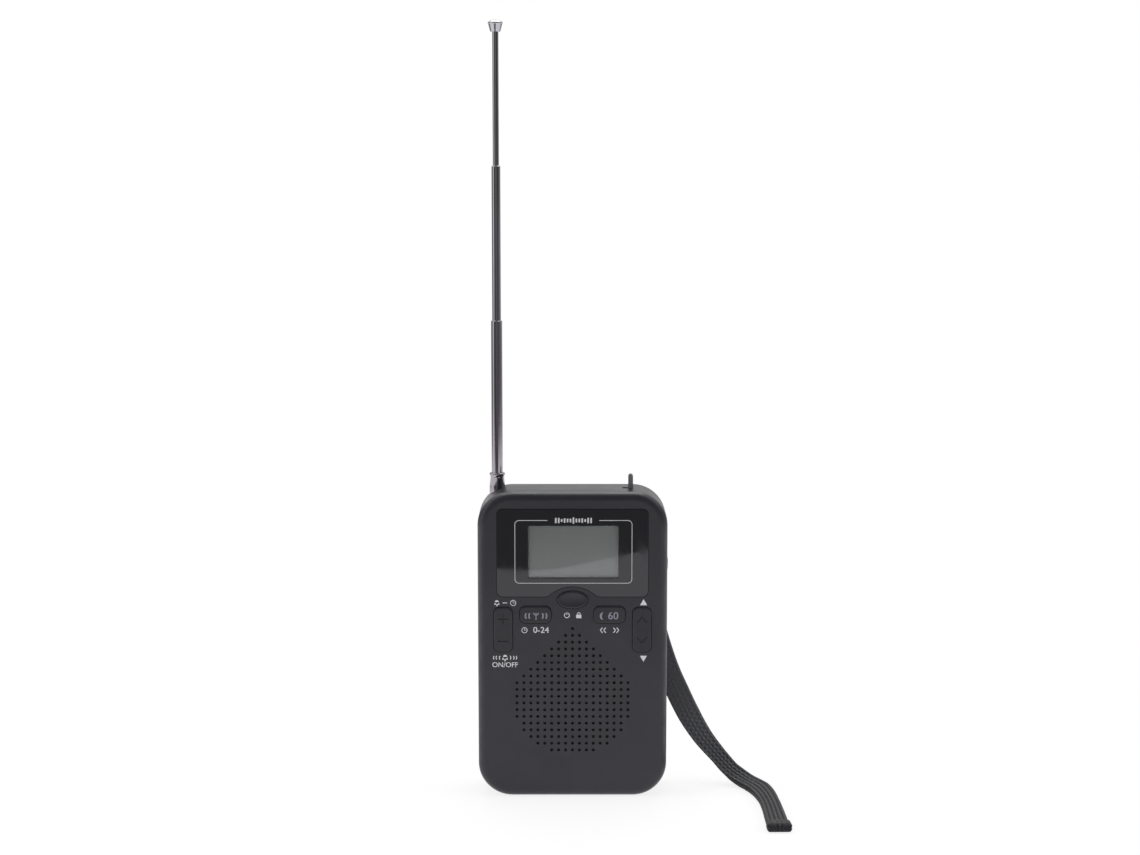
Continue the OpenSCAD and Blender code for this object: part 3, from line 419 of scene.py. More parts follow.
class Nodes:
    """A shader tree, with short ways to add nodes to it."""

    def __init__(self, tree):
        self.tree = tree

    def add(self, kind, values=None, **settings):
        """Adds a node, sets its properties, and fills its inputs by name or index."""
        item = self.tree.nodes.new("ShaderNode" + kind)
        for key, value in settings.items():
            setattr(item, key, value)
        for key, value in (values or {}).items():
            if isinstance(value, bpy.types.NodeSocket):
                self.tree.links.new(value, item.inputs[key])
            else:
                item.inputs[key].default_value = value
        return item

    def maths(self, operation, *terms):
        """A Math node's result."""
        return self.add("Math", dict(enumerate(terms)), operation=operation).outputs[0]

    def times(self, result, *others):
        """A product."""
        for other in others:
            result = self.maths("MULTIPLY", result, other)
        return result

    def minus(self, a, b):
        """A difference."""
        return self.maths("SUBTRACT", a, b)

    def line(self, value, slope, start):
        """Value times slope, plus start."""
        return self.maths("MULTIPLY_ADD", value, slope, start)

    def scaled(self, value, low, high, to_low=0.0, to_high=1.0, kind="LINEAR"):
        """Carries a value from one range to another, and stays inside it."""
        return self.add("MapRange", {"Value": value, "From Min": low, "From Max": high,
                                     "To Min": to_low, "To Max": to_high},
                        interpolation_type=kind).outputs[0]

    def band(self, value, low, high, *ends):
        """A smooth step between two values."""
        return self.scaled(value, low, high, *ends, kind="SMOOTHSTEP")

    def blend(self, factor, low, high):
        """A number that runs from low to high with a factor."""
        return self.scaled(factor, 0.0, 1.0, low, high)

    def level(self, factor, a, b):
        """A number mixed from two numbers or sockets."""
        return self.add("Mix", {0: factor, 2: a, 3: b}, data_type="FLOAT").outputs[0]

    def mix(self, factor, a, b):
        """A colour mixed from two colours or sockets."""
        return self.add("Mix", {0: factor, 6: a, 7: b}, data_type="RGBA").outputs[2]

    def ramp(self, value, steps):
        """Levels of grey at places from 0 to 1."""
        item = self.add("ValToRGB", {0: value})
        stops = item.color_ramp.elements
        for place, _ in steps[1:-1]:
            stops.new(place)
        for stop, (_, grey) in zip(stops, steps):
            stop.color = (grey, grey, grey, 1)
        return item.outputs["Color"]

    def split(self, vector):
        """The X, Y and Z of a vector."""
        return self.add("SeparateXYZ", {0: vector}).outputs

    def noise(self, vector, scale, detail, **values):
        """A noise texture's level."""
        return self.add("TexNoise", {"Vector": vector, "Scale": scale, "Detail": detail,
                                     **values}).outputs["Fac"]

    def stretched(self, vector, scale):
        """A vector scaled along each axis."""
        return self.add("Mapping", {"Vector": vector, "Scale": scale}).outputs[0]


# ---- shared shader groups


def moulded_grain(net, vector):
    """Spark-eroded mould grain: fine height and a faint large mottle."""
    cells = net.add("TexVoronoi", {"Vector": vector, "Scale": 5200.0}, feature="SMOOTH_F1")
    fine = net.noise(vector, 2600.0, 3.0)
    return {"Height": net.line(cells.outputs["Distance"], 0.6, fine),
            "Mottle": net.noise(vector, 60.0, 4.0, Roughness=0.6)}


def handled_edges(net, vector, normal):
    """Rounded edges and corners, where hands polish and pale a moulding."""
    x, y, z = (net.maths("ABSOLUTE", part) for part in net.split(normal))
    most = net.maths("MAXIMUM", x, net.maths("MAXIMUM", y, z))
    patches = net.band(net.noise(vector, 180.0, 5.0), 0.35, 0.7)
    return {"Mask": net.times(net.band(net.minus(1.0, most), 0.06, 0.3), patches)}


def sunken_places(net, vector, across, half, low, high, face):
    """Places just below a face, on both sides of the centre line, from low to high."""
    x, y, z = net.split(vector)
    off = net.maths("ABSOLUTE", net.minus(net.maths("ABSOLUTE", x), across))
    inside = net.times(net.maths("LESS_THAN", off, half), net.maths("GREATER_THAN", z, low),
                         net.maths("LESS_THAN", z, high))
    below = net.minus(y, face)
    return {"Mask": net.times(inside, net.band(below, 0.06 * MM, 0.16 * MM),
                                net.band(below, 4 * MM, 3 * MM))}


def dust_and_smudges(net, vector, normal):
    """Soft smudges, and specks of dust that lie on faces that look up."""
    smear = net.noise(vector, 95.0, 3.0, Distortion=0.8)
    specks = net.add("TexVoronoi", {"Vector": vector, "Scale": 420.0}).outputs["Distance"]
    up = net.band(net.split(normal)["Z"], 0.2, 0.9)
    return {"Smudge": net.band(smear, 0.42, 0.68),
            "Dust": net.times(up, net.minus(1.0, net.band(specks, 0.05, 0.16)))}


def woven_ribs(net, vector):
    """Webbing along UV: X is millimetres along, Y counts the ribs across."""
    along, across, _ = net.split(vector)
    ridge = net.maths("SINE", net.times(net.maths("FRACT", across), pi))
    rows = net.times(across, 1.4)
    phase = net.line(along, 2 * pi / 1.9, net.times(net.maths("FLOOR", rows), pi))
    stitch = net.line(net.maths("SINE", phase), 0.5, 0.5)
    thread = net.maths("SINE", net.times(net.maths("FRACT", rows), pi))
    loop = net.times(net.maths("POWER", stitch, 2.0), net.maths("POWER", thread, 2.0))
    fuzz = net.noise(net.stretched(vector, (0.8, 9.0, 1.0)), 3.0, 4.0)
    return {"Height": net.line(fuzz, 0.3, loop), "Ridge": ridge,
            "Yarn": net.line(loop, 0.75, net.times(fuzz, 0.35))}


# Name, vector inputs, number inputs and builder of each group
GROUPS = {
    "grain": ("Moulded Grain", "Vector", "", moulded_grain),
    "edges": ("Handled Edges", "Vector Normal", "", handled_edges),
    "hollows": ("Sunken Places", "Vector", "Across Half Low High Face", sunken_places),
    "dust": ("Dust and Smudges", "Vector Normal", "", dust_and_smudges),
    "weave": ("Woven Ribs", "Vector", "", woven_ribs),
}


def shared(key):
    """A shared shader group, built when it is first wanted."""
    name, vectors, numbers, build = GROUPS[key]
    tree = bpy.data.node_groups.get(name)
    if tree:
        return tree
    tree = bpy.data.node_groups.new(name, "ShaderNodeTree")
    for kind, labels in (("Vector", vectors), ("Float", numbers)):
        for label in labels.split():
            tree.interface.new_socket(label, in_out="INPUT", socket_type="NodeSocket" + kind)
    given = tree.nodes.new("NodeGroupInput").outputs
    results = build(Nodes(tree), *(given[label] for label in f"{vectors} {numbers}".split()))
    for label in results:
        tree.interface.new_socket(label, in_out="OUTPUT", socket_type="NodeSocketFloat")
    out = tree.nodes.new("NodeGroupOutput")
    for label, value in results.items():
        tree.links.new(value, out.inputs[label])
    return tree


# ---- materials


class Finish(Nodes):
    """A material with its Principled shader and object coordinates at hand."""

    def __init__(self, name, colour, roughness, metallic=0.0, **sockets):
        self.material = bpy.data.materials.new(name)
        self.material.use_nodes = True
        super().__init__(self.material.node_tree)
        self.shader = self.tree.nodes["Principled BSDF"]
        self.material.diffuse_color = self.colour = (*colour, 1)
        for key, value in {"Base Color": self.colour, "Roughness": roughness, "Metallic": metallic,
                           **sockets}.items():
            self.shader.inputs[key.replace("_", " ")].default_value = value
        place = self.add("TexCoord").outputs
        self.here, self.facing, self.uv = place["Object"], place["Normal"], place["UV"]

    def use(self, key, **values):
        """The outputs of a shared group, with its inputs by name."""
        return self.add("Group", values, node_tree=shared(key)).outputs

    def dirt(self):
        """The masks of smudges and dust."""
        return self.use("dust", Vector=self.here, Normal=self.facing)

    def bump(self, height, strength, distance):
        """Raises the surface by a height."""
        item = self.add("Bump", {"Height": height, "Strength": strength, "Distance": distance})
        self.drive("Normal", item.outputs["Normal"])

    def drive(self, socket, value):
        """Links a value to the shader."""
        self.tree.links.new(value, self.shader.inputs[socket])


def paler(colour, amount):
    """A colour moved towards a pale grey."""
    return (*(c + (0.45 - c) * amount for c in colour), 1)


def shade(colour, share):
    """A colour made brighter or darker."""
    return (*(min(1, share * c) for c in colour), 1)


def moulded(name, colour, roughness=0.38, grain=0.4, sunk=None, painted_hollow_shade=0.8):
    """Moulded plastic with fine grain, handled edges, smudges, dust, and painted shade in its
    hollows.
    """
    specular = 0.5
    finish = Finish(name, colour, roughness, Specular_IOR_Level=specular)
    texture = finish.use("grain", Vector=finish.here)
    worn = finish.use("edges", Vector=finish.here, Normal=finish.facing)["Mask"]
    dirt = finish.dirt()
    tone = finish.colour
    for mask, amount, other in ((texture["Mottle"], 0.05, paler(colour, 0.5)),
                                (worn, 0.045, paler(colour, 0.6)),
                                (dirt["Dust"], 0.05, (0.4, 0.39, 0.37, 1))):
        tone = finish.mix(finish.blend(mask, 0.0, amount), tone, other)
    if sunk:
        # Painted shade: places just below the face turn nearly black and lose most of their
        # reflection.
        hollow = finish.use("hollows", Vector=finish.here, **sunk)["Mask"]
        tone = finish.mix(finish.blend(hollow, 0.0, painted_hollow_shade), tone, (0.002, 0.002, 0.002, 1))
        finish.drive("Specular IOR Level",
                     finish.blend(hollow, specular, (1 - 0.85 * painted_hollow_shade) * specular))
    finish.drive("Base Color", tone)
    rough = finish.blend(worn, roughness, roughness - 0.12)
    finish.drive("Roughness", finish.minus(rough, finish.blend(dirt["Smudge"], 0.0, 0.05)))
    finish.bump(texture["Height"], grain, 0.02 * MM)
    return finish.material


def printed_ink(name, colour):
    """Screen printing: slightly uneven ink."""
    ink = Finish(name, colour, 0.5)
    speckle = ink.noise(ink.here, 2400.0, 2.0)
    ink.drive("Base Color", ink.mix(ink.blend(speckle, 0.0, 0.5), ink.colour, shade(colour, 0.7)))
    ink.bump(speckle, 0.2, 0.01 * MM)
    return ink.material


def plated(name, colour):
    """Bright plating with drawn streaks, a slight waver along its length, finger smudges and painted
    shade low down.
    """
    metal = Finish(name, colour, 0.05, 1.0)
    drawn = metal.noise(metal.stretched(metal.here, (700.0, 700.0, 14.0)), 1.0, 3.0)
    waver = metal.noise(metal.stretched(metal.here, (260.0, 260.0, 22.0)), 1.0, 1.0)
    smudge = metal.dirt()["Smudge"]
    metal.drive("Roughness", metal.maths("ADD", metal.blend(drawn, 0.05, 0.09),
                                         metal.blend(smudge, 0.0, 0.05)))
    # Painted shade: below 0.12 m the plating is darker and browner, and it reaches its own colour by
    # 0.2 m; smudges darken it with the same colour.
    darker = (0.74 * colour[0], 0.7 * colour[1], 0.71 * colour[2], 1)
    height = metal.split(metal.here)["Z"]
    tone = metal.mix(metal.band(height, 0.12, 0.2), darker, metal.colour)
    metal.drive("Base Color", metal.mix(metal.blend(smudge, 0.0, 0.3), tone, darker))
    metal.bump(metal.line(waver, 6.0, drawn), 0.3, 0.05 * MM)
    return metal.material


def inner(name, colour, roughness, metallic=0.0, scale=900.0, contrast=0.35, bump=0.3):
    """A part inside the case: its colour broken up by a fine pattern."""
    part = Finish(name, colour, roughness, metallic)
    noise = part.noise(part.here, scale, 4.0)
    low, high = shade(colour, 1 - contrast), shade(colour, 1 + contrast)
    part.drive("Base Color", part.mix(noise, low, high))
    part.drive("Roughness", part.blend(noise, max(0.02, roughness - 0.1), roughness + 0.1))
    part.bump(noise, bump, 0.03 * MM)
    return part.material


def board_finish():
    """Solder mask over copper tracks."""
    board = Finish("Circuit Board", (0.01, 0.09, 0.04), 0.3)
    black = (0, 0, 0, 1)
    tracks = board.add("TexBrick", {"Vector": board.here, "Scale": 500.0, "Mortar Size": 0.03,
                                    "Color1": black, "Color2": black, "Mortar": WHITE})
    board.drive("Base Color", board.mix(tracks.outputs["Color"], board.colour, (0.05, 0.2, 0.08, 1)))
    board.bump(tracks.outputs["Color"], 0.3, 0.03 * MM)
    return board.material


def cell_finish():
    """A dry cell's jacket: a dark body, a gold shoulder and a bare end."""
    jacket = Finish("Cell Jacket", (0.02, 0.02, 0.022), 0.28, Coat_Weight=0.4)
    low, high = (corner[2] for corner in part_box("battery_cell_left"))
    up = jacket.split(jacket.here)["Z"]
    third = (high - low) / 3
    gold = jacket.minus(jacket.band(up, low + 1.9 * third, low + 1.92 * third),
                        jacket.band(up, high - 1.6 * MM, high - 1.5 * MM))
    jacket.drive("Base Color", jacket.mix(gold, jacket.colour, (0.6, 0.33, 0.1, 1)))
    jacket.drive("Metallic", jacket.times(gold, 0.9))
    jacket.drive("Roughness", jacket.blend(jacket.noise(jacket.here, 700.0, 5.0), 0.2, 0.42))
    return jacket.material


def webbing_finish(colour):
    """Woven nylon: smooth near the case, then pale stitches, then deep ribs, with a soft sheen,
    painted light along its length and painted shade in its grooves and at its end.
    """
    cloth = Finish("Woven Nylon", colour, 0.75, Sheen_Weight=0.1, Sheen_Roughness=0.4,
                   Specular_IOR_Level=0.3)
    weave = cloth.use("weave", Vector=cloth.uv)
    along = cloth.split(cloth.uv)["X"]
    ribbed = cloth.band(along, 42.0, 72.0)
    stitched = cloth.times(cloth.band(along, 44.0, 56.0), cloth.band(along, 92.0, 72.0))
    dark, painted_dim_far_end, painted_lit_near_case, pale = (shade(colour, share) for share in (0.1, 0.78, 1.7, 4.5))
    # Painted shade: the grooves between the ribs are darkened almost to a tenth of the yarn's colour
    # where the ribs are full.
    groove = cloth.minus(1.0, cloth.band(weave["Ridge"], 0.4, 1.0))
    # Painted light and shade: the webbing is lighter up to 55 mm from the pin and darker from 105 mm
    # on, where it lies on the floor.
    face = cloth.mix(cloth.band(along, 55.0, 105.0), painted_lit_near_case, painted_dim_far_end)
    # Painted shade: the last few millimetres, at the fold, are darkened a third of the way towards
    # the groove colour.
    face = cloth.mix(cloth.blend(cloth.band(along, 127.0, 130.0), 0.0, 0.35), face, dark)
    base = cloth.mix(cloth.blend(cloth.times(groove, ribbed), 0.0, 0.95), face, dark)
    yarn = cloth.times(weave["Yarn"], cloth.blend(stitched, 0.15, 0.75))
    cloth.drive("Base Color", cloth.mix(yarn, base, pale))
    relief = cloth.blend(cloth.band(along, 38.0, 58.0), 0.3, 1.0)
    cloth.bump(cloth.times(weave["Height"], relief), 0.7, 0.12 * MM)
    return cloth.material


# ---- pieces and operators


def walls(net, x, y):
    """What bright metal mirrors all round: a bright left, a dim right and a dark front."""
    ahead = net.line(y, -0.5, 0.5)
    return net.level(net.band(x, -0.15, 0.15), net.ramp(ahead, LEFT_WALL),
                       net.ramp(ahead, RIGHT_WALL))


def floor_finish():
    """White paper that keeps a faint shadow. Its mirror image ends in front of the radio."""
    floor = Finish("Studio Floor", (0.86, 0.86, 0.86), 0.9)
    rays = floor.add("LightPath").outputs
    across, depth, _ = floor.split(floor.here)
    off = floor.maths("ADD", across, 0.013)
    bow = floor.maths("SQRT", floor.line(off, off, 3.6e-5))
    edge = floor.line(off, -0.39, floor.line(bow, -0.74, -0.397))
    past = floor.band(floor.minus(depth, edge), 0.003, -0.003)
    dusk = floor.scaled(depth, -0.62, -0.8, 0.21, 0.07)
    near = floor.line(past, floor.minus(dusk, 1.0), 1.0)
    far = floor.maths("SQRT", floor.line(across, across, floor.times(depth, depth)))
    beyond = walls(floor, *(floor.maths("DIVIDE", part, far) for part in (across, depth)))
    shine = floor.level(floor.band(far, 0.7, 0.95), near, beyond)
    paper = floor.add("Emission", {"Color": WHITE})
    sheen = floor.add("Emission", {"Color": (0.985, 0.965, 1.04, 1), "Strength": shine})
    seen = floor.times(rays["Is Camera Ray"], floor.scaled(far, 0.04, 0.3, 0.8, 1.0))
    shown = floor.add("MixShader", {0: seen, 1: floor.shader.outputs[0], 2: paper.outputs[0]})
    direct = floor.maths("LESS_THAN", rays["Diffuse Depth"], 0.5)
    mirror = floor.times(rays["Is Glossy Ray"], direct, floor.line(past, 0.15, 0.85))
    both = floor.add("MixShader", {0: mirror, 1: shown.outputs[0], 2: sheen.outputs[0]})
    out = floor.tree.nodes["Material Output"]
    floor.tree.links.new(both.outputs[0], out.inputs["Surface"])
    return floor.material


def studio_world(scene):
    """White behind the radio, soft light, and a dim room in front of it."""
    world = bpy.data.worlds.new("Studio")
    scene.world = world
    world.use_nodes = True
    world.node_tree.nodes.clear()
    sky = Nodes(world.node_tree)
    rays = sky.add("LightPath").outputs
    x, y, z = sky.split(sky.add("TexCoord").outputs["Generated"])
    ahead = sky.line(y, -0.5, 0.5)
    above = sky.band(ahead, 0.42, 0.72, 1.0, 0.05)
    shine = sky.level(sky.band(z, 0.3, 0.6), walls(sky, x, y), above)
    light = sky.scaled(ahead, 0.3, 0.8, 0.7, 0.55)
    mirror = sky.times(sky.maths("MAXIMUM", rays["Is Glossy Ray"], rays["Is Transmission Ray"]),
                       sky.maths("LESS_THAN", rays["Diffuse Depth"], 0.5))
    level = sky.level(rays["Is Camera Ray"], sky.level(mirror, light, shine), 1.0)
    glow = sky.add("Background", {"Color": WHITE, "Strength": level})
    sky.add("OutputWorld", {"Surface": glow.outputs[0]})


class RADIO_OT_stage(bpy.types.Operator):
    """Builds the floor, the soft light and the camera"""

    bl_idname = "radio.stage"
    bl_label = "Stage"

    def execute(self, context):
        scene = context.scene
        scene.view_settings.view_transform = "Standard"
        deselect()
        bpy.ops.object.camera_add(location=CAMERA_PLACE, rotation=(radians(CAMERA_TILT), 0, 0))
        camera = context.object
        camera.name = "Camera"
        camera.data.sensor_width = SENSOR_WIDTH
        camera.data.lens = FOCAL_LENGTH
        camera.data.clip_start = 0.01
        scene.camera = camera

        bpy.ops.mesh.primitive_plane_add(size=12, location=(0, 0, -0.05 * MM))
        floor = named("floor")
        floor.data.materials.append(floor_finish())

        for name, (place, turn, size, power, mirrored) in SOFTBOXES.items():
            bpy.ops.object.light_add(type="AREA", location=place,
                                     rotation=[radians(a) for a in turn])
            lamp = context.object
            lamp.name = name
            lamp.data.size = size
            lamp.data.energy = power
            lamp.visible_glossy = mirrored
        studio_world(scene)
        return {"FINISHED"}


def held(value):
    """A number kept between 0 and 1."""
    return min(1.0, max(0.0, value))


def strap_section(sizes, broad, fold, ribbed, steps=8):
    """Outline of both plies across the strap: ribs on each face and a groove along each side."""
    half, thick = sizes.strap_width / 2 * broad, sizes.strap_thickness / 2 * fold
    flat = 0.9 - 0.26 * max(0.0, fold - 1)        # the fold has rounder edges
    upper = []
    for k in range(RIBS * steps + 1):
        v = k / steps
        u = 2 * (v % 1.0) - 1
        dip = sizes.rib_depth * ribbed * (1 - sqrt(1 - 0.98 * u * u))
        t = 2 * v / RIBS - 1
        edge = max(0.0, (abs(t) - flat) / (1 - flat))
        upper.append((t * half, thick - dip * (1 - edge) - 0.6 * thick * edge ** 2, v))
    side = [(half * 0.995, 0.2 * thick), (half * 0.955, 0.0), (half * 0.995, -0.2 * thick)]
    right = [(x, z, RIBS + 0.5) for x, z in side]
    lower = [(x, -z, v + LOWER_PLY) for x, z, v in reversed(upper)]
    left = [(-x, -z, 0.5) for x, z in side]
    return upper + right + lower + left


def strap_points(steps=7):
    """A smooth line's points: place, heading, facing, width, thickness and rib depth."""
    knots = [Vector(p) for p in STRAP_ROUTE]
    ends = [2 * knots[0] - knots[1], *knots, 2 * knots[-1] - knots[-2]]
    rows = []
    for i in range(len(knots) - 1):
        a, b, c, d = ends[i:i + 4]
        for s in range(steps):
            t = s / steps
            spot = 0.5 * ((2 * b) + (c - a) * t + (2 * a - 5 * b + 4 * c - d) * t * t
                          + (3 * b - a - 3 * c + d) * t ** 3)
            rows.append((spot, *(part[i] + (part[i + 1] - part[i]) * t
                                 for part in (STRAP_TURN, STRAP_GATHER, STRAP_FOLD))))
    rows.append((knots[-1], STRAP_TURN[-1], STRAP_GATHER[-1], STRAP_FOLD[-1]))
    points = []
    last = len(rows) - 1
    for i, (spot, turn, broad, fold) in enumerate(rows):
        heading = (rows[min(i + 1, last)][0] - rows[max(i - 1, 0)][0]).normalized()
        ribbed = 0.1 + 0.9 * held((i / last - RIBS_BEGIN) / RIBS_GROW)
        ribbed *= held((1.5 - fold) / 0.4)        # the folded end is pressed flat
        points.append((spot, heading, Vector((0, turn - 1, turn)).normalized(), broad, fold, ribbed))
    spot, heading, facing, broad, fold, ribbed = points[-1]
    for angle in (15, 30, 45, 60, 75, 86):        # the end is rounded off
        a = radians(angle)
        points.append((spot + heading * STRAP_TIP * sin(a), heading, facing,
                       broad - 0.3 * (1 - cos(a)), fold * (0.08 + 0.92 * cos(a)), ribbed))
    return points


class RADIO_OT_strap(bpy.types.Operator):
    """Weaves the wrist strap: two plies of ribbed webbing with a folded end"""

    bl_idname = "radio.strap"
    bl_label = "Wrist strap"

    def execute(self, context):
        sizes = context.scene.radio_sizes
        points = strap_points()
        mesh = bpy.data.meshes.new("strap_webbing")
        strap = bpy.data.objects.new("strap_webbing", mesh)
        context.scene.collection.objects.link(strap)
        shape = bmesh.new()
        uv = shape.loops.layers.uv.new("UVMap")
        rings, along = [], 0.0
        for index, (centre, heading, facing, broad, fold, ribbed) in enumerate(points):
            if index:
                along += (centre - points[index - 1][0]).length
            side = heading.cross(facing).normalized()
            face = side.cross(heading).normalized()
            rings.append([(shape.verts.new(centre + side * x + face * z), (along / MM, v))
                          for x, z, v in strap_section(sizes, broad, fold, ribbed)])
        outlines = [[low[k], low[k + 1], high[k + 1], high[k]]
                    for low, high in zip(rings, rings[1:]) for k in range(-len(low), 0)]
        for outline in (*outlines, rings[0][::-1], rings[-1]):
            item = shape.faces.new([vert for vert, _ in outline])
            for loop, (_, place) in zip(item.loops, outline):
                loop[uv].uv = place
        bmesh.ops.triangulate(shape, faces=[f for f in shape.faces if len(f.verts) > 4])
        bmesh.ops.recalc_face_normals(shape, faces=shape.faces)
        for item in shape.faces:
            item.smooth = True
        shape.to_mesh(mesh)
        shape.free()
        dress(strap, webbing_finish(context.scene.radio_colours.webbing), CASE)
        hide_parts("wrist_strap")
        return {"FINISHED"}


class RADIO_OT_case(bpy.types.Operator):
    """Finishes the case, its door and its screws"""

    bl_idname = "radio.case"
    bl_label = "Case"

    def execute(self, context):
        colours = context.scene.radio_colours
        # The walls of the grille's holes get painted shade.
        grille = {"Across": 0.0, "Half": 20.5 * MM, "Low": 13 * MM, "High": 59.5 * MM,
                  "Face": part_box("front_shell")[0][1]}
        plastic = moulded("Housing Plastic", colours.case, sunk=grille)
        finish_nodes("front_shell rear_shell battery_door", plastic)
        finish_nodes("case_screws", inner("Blackened Screw", (0.05, 0.05, 0.055), 0.38, 0.9, 1500.0))
        finish_nodes("switch_lever", moulded("Lever Plastic", colours.lever, 0.42, 0.3))
        return {"FINISHED"}


def radio_waves(x, z, s):
    """An aerial between two pairs of waves."""
    return (aerial(x + 0.2 * MM, z - 0.4 * MM, 1.3 * s)
            + hum(x + 0.2 * MM, z - 0.3 * MM, 1.5 * s))


def sleep_timer(x, z, s):
    """A moon beside a number of minutes."""
    z -= 0.35 * MM
    return moon(x - 2.0 * MM, z, 1.35 * s) + words("60", x + 1.2 * MM, z, 1.15 * s)


class RADIO_OT_keys(bpy.types.Operator):
    """Finishes the keys and prints their marks"""

    bl_idname = "radio.keys"
    bl_label = "Keys"

    def execute(self, context):
        colours = context.scene.radio_colours
        x, _, z = middle("tuning_rocker")
        # The grooves of the rocker's marks get painted shade.
        grooves = {"Across": x, "Half": 2.2 * MM, "Low": z - 6.4 * MM, "High": z + 6.4 * MM,
                   "Face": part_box("tuning_rocker")[0][1]}
        plastic = moulded("Key Plastic", colours.keys, 0.46, 0.35, grooves, 0.3)
        finish_nodes("band_key power_key sleep_key volume_rocker tuning_rocker", plastic)
        ink = printed_ink("Key Print", colours.key_ink)
        for name, draw in (("band_key", radio_waves), ("sleep_key", sleep_timer)):
            x, _, z = middle(name)
            strokes = draw(x, z, context.scene.radio_sizes.print_height)
            printed(name + "_mark", strokes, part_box(name)[0][1], ink, name)
        return {"FINISHED"}


def rounded_block(name, x, z, half, y0, y1, radius):
    """A block seen from the front as a rectangle with round corners."""
    bpy.ops.mesh.primitive_cube_add(size=1, location=(x, (y0 + y1) / 2, z))
    bpy.context.object.scale = (2 * half[0], y1 - y0, 2 * half[1])
    piece = named(name)
    choose(piece, "EDGE", lambda a, b: abs(a.y - b.y) > 0.5 * (y1 - y0))
    bpy.ops.mesh.bevel(offset=radius, segments=6)
    leave()
    return piece


def lens_surround(colour, x, z, front, back):
    """The window's plate, with an opening for the view."""
    plate = copy_node("display_lens", "lens_surround")
    edit(plate, "EDGE")
    bpy.ops.mesh.dissolve_limited(angle_limit=radians(1))
    leave()
    cutter = rounded_block("cutter", x, z, VIEW_HALF, front - MM, back + MM, 0.6 * MM)
    modify(plate, "BOOLEAN", operation="DIFFERENCE", object=cutter, solver="EXACT")
    pick(cutter)
    bpy.ops.object.delete()
    round_edges(plate, 0.12 * MM, 3)
    smooth(plate, 60)
    modify(plate, "WEIGHTED_NORMAL", keep_sharp=True, weight=100)
    black = Finish("Gloss Black", colour, 0.03, Specular_IOR_Level=0.75)
    black.drive("Roughness", black.blend(black.dirt()["Smudge"], 0.02, 0.07))
    black.bump(black.noise(black.here, 35.0, 1.0), 0.05, 0.05 * MM)
    dress(plate, black.material, CASE)
    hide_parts("display_lens")


def frame_line(x, z, front, width):
    """A printed line with round corners and a row of bars in a gap at its top."""
    ink = printed_ink("Frame Line Ink", (0.52, 0.52, 0.54))
    half_w, half_h, corner, gap = 19.66 * MM, 10.7 * MM, 1.4 * MM, 8.7 * MM
    strokes = []
    for side in (-1, 1):
        edge = x + side * half_w
        turn = edge - side * corner
        strokes += [bar(edge, z - half_h + corner, edge, z + half_h - corner, width),
                    bar(x + side * gap, z + half_h, turn, z + half_h, width)]
        for up in (-1, 1):
            strokes.append(ring(turn, z + up * (half_h - corner), corner + width / 2, width,
                                lambda a, s=side, u=up: cos(radians(a)) * s > 0
                                and sin(radians(a)) * u > 0))
    strokes.append(bar(x - half_w + corner, z - half_h, x + half_w - corner, z - half_h, width))
    printed("lens_line", strokes, front, ink, CASE)
    printed("lens_mark", sound_bars(x, z + half_h, 2.1 * MM), front, ink, CASE)


class RADIO_OT_display(bpy.types.Operator):
    """Builds the display window: a black surround, a clear pane and a printed line"""

    bl_idname = "radio.display"
    bl_label = "Display"

    def execute(self, context):
        colours = context.scene.radio_colours
        (_, front, _), (_, back, _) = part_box("display_lens")
        x = middle("display_lens")[0] + 0.3 * MM
        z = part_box("lcd_panel")[1][2] - 1.1 * MM - VIEW_HALF[1]
        lens_surround(colours.lens, x, z, front, back)

        pane = rounded_block("lens_pane", x, z, [v - 0.01 * MM for v in VIEW_HALF],
                             front + 0.02 * MM, back - 0.02 * MM, 0.59 * MM)
        clear = Finish("Clear Window", (0.95, 0.96, 0.96), 0.02, Transmission_Weight=1.0, IOR=1.5)
        dress(pane, clear.material, CASE)
        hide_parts("display_lens")

        frame_line(x, z + 0.05 * MM, front, context.scene.radio_sizes.line_width)

        crystal = Finish("Liquid Crystal", colours.display, 0.35, Specular_IOR_Level=0.2)
        # Painted shade: the crystal is darker towards the top of the view and lighter towards the
        # bottom.
        height = crystal.split(crystal.here)["Z"]
        tone = crystal.mix(crystal.band(height, z - VIEW_HALF[1], z + VIEW_HALF[1]),
                           shade(colours.display, 1.12), shade(colours.display, 0.9))
        cloud = crystal.blend(crystal.noise(crystal.here, 70.0, 2.0), 0.0, 0.12)
        crystal.drive("Base Color", crystal.mix(cloud, tone, (0.2, 0.22, 0.2, 1)))
        finish_nodes("lcd_panel", crystal.material)
        return {"FINISHED"}


class RADIO_OT_marks(bpy.types.Operator):
    """Prints the marks round the keys"""

    bl_idname = "radio.marks"
    bl_label = "Printed marks"

    def execute(self, context):
        s = context.scene.radio_sizes.print_height
        (key_x, _, key_z), (rocker_x, _, rocker_z) = middle("sleep_key"), middle("tuning_rocker")
        left_x, right_x = 0.6 * MM - rocker_x, rocker_x + 0.55 * MM
        over, under = rocker_z + 9.15 * MM, rocker_z - 9.75 * MM
        below, lock_z = key_z - 5.35 * MM, middle("power_key")[2] - 5.3 * MM
        strokes = (
            bell(left_x - 2.7 * MM, over, s) + clock(left_x + 2.8 * MM, over, s)
            + [bar(left_x - 0.75 * MM, over, left_x + 0.75 * MM, over, 0.12 * s)]
            + bell(left_x, under, 1.1 * s) + hum(left_x, under, s, (0.45, 0.95, 1.35))
            + words("ON/OFF", left_x, under - 2.5 * MM, 1.7 * MM)
            + triangle(right_x, over - 0.1 * MM, 1.3 * s)
            + triangle(right_x, under, 1.3 * s, up=False)
            + power_sign(-1.9 * MM, lock_z, s) + padlock(2.1 * MM, lock_z, s)
            + clock(-key_x - 3.7 * MM, below, s) + words("0-24", 1.9 * MM - key_x, below, 0.95 * s)
            + chevrons(key_x, below, s)
        )
        ink = printed_ink("Housing Print", context.scene.radio_colours.print_ink)
        printed("case_marks", strokes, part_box("front_shell")[0][1], ink, CASE)
        return {"FINISHED"}


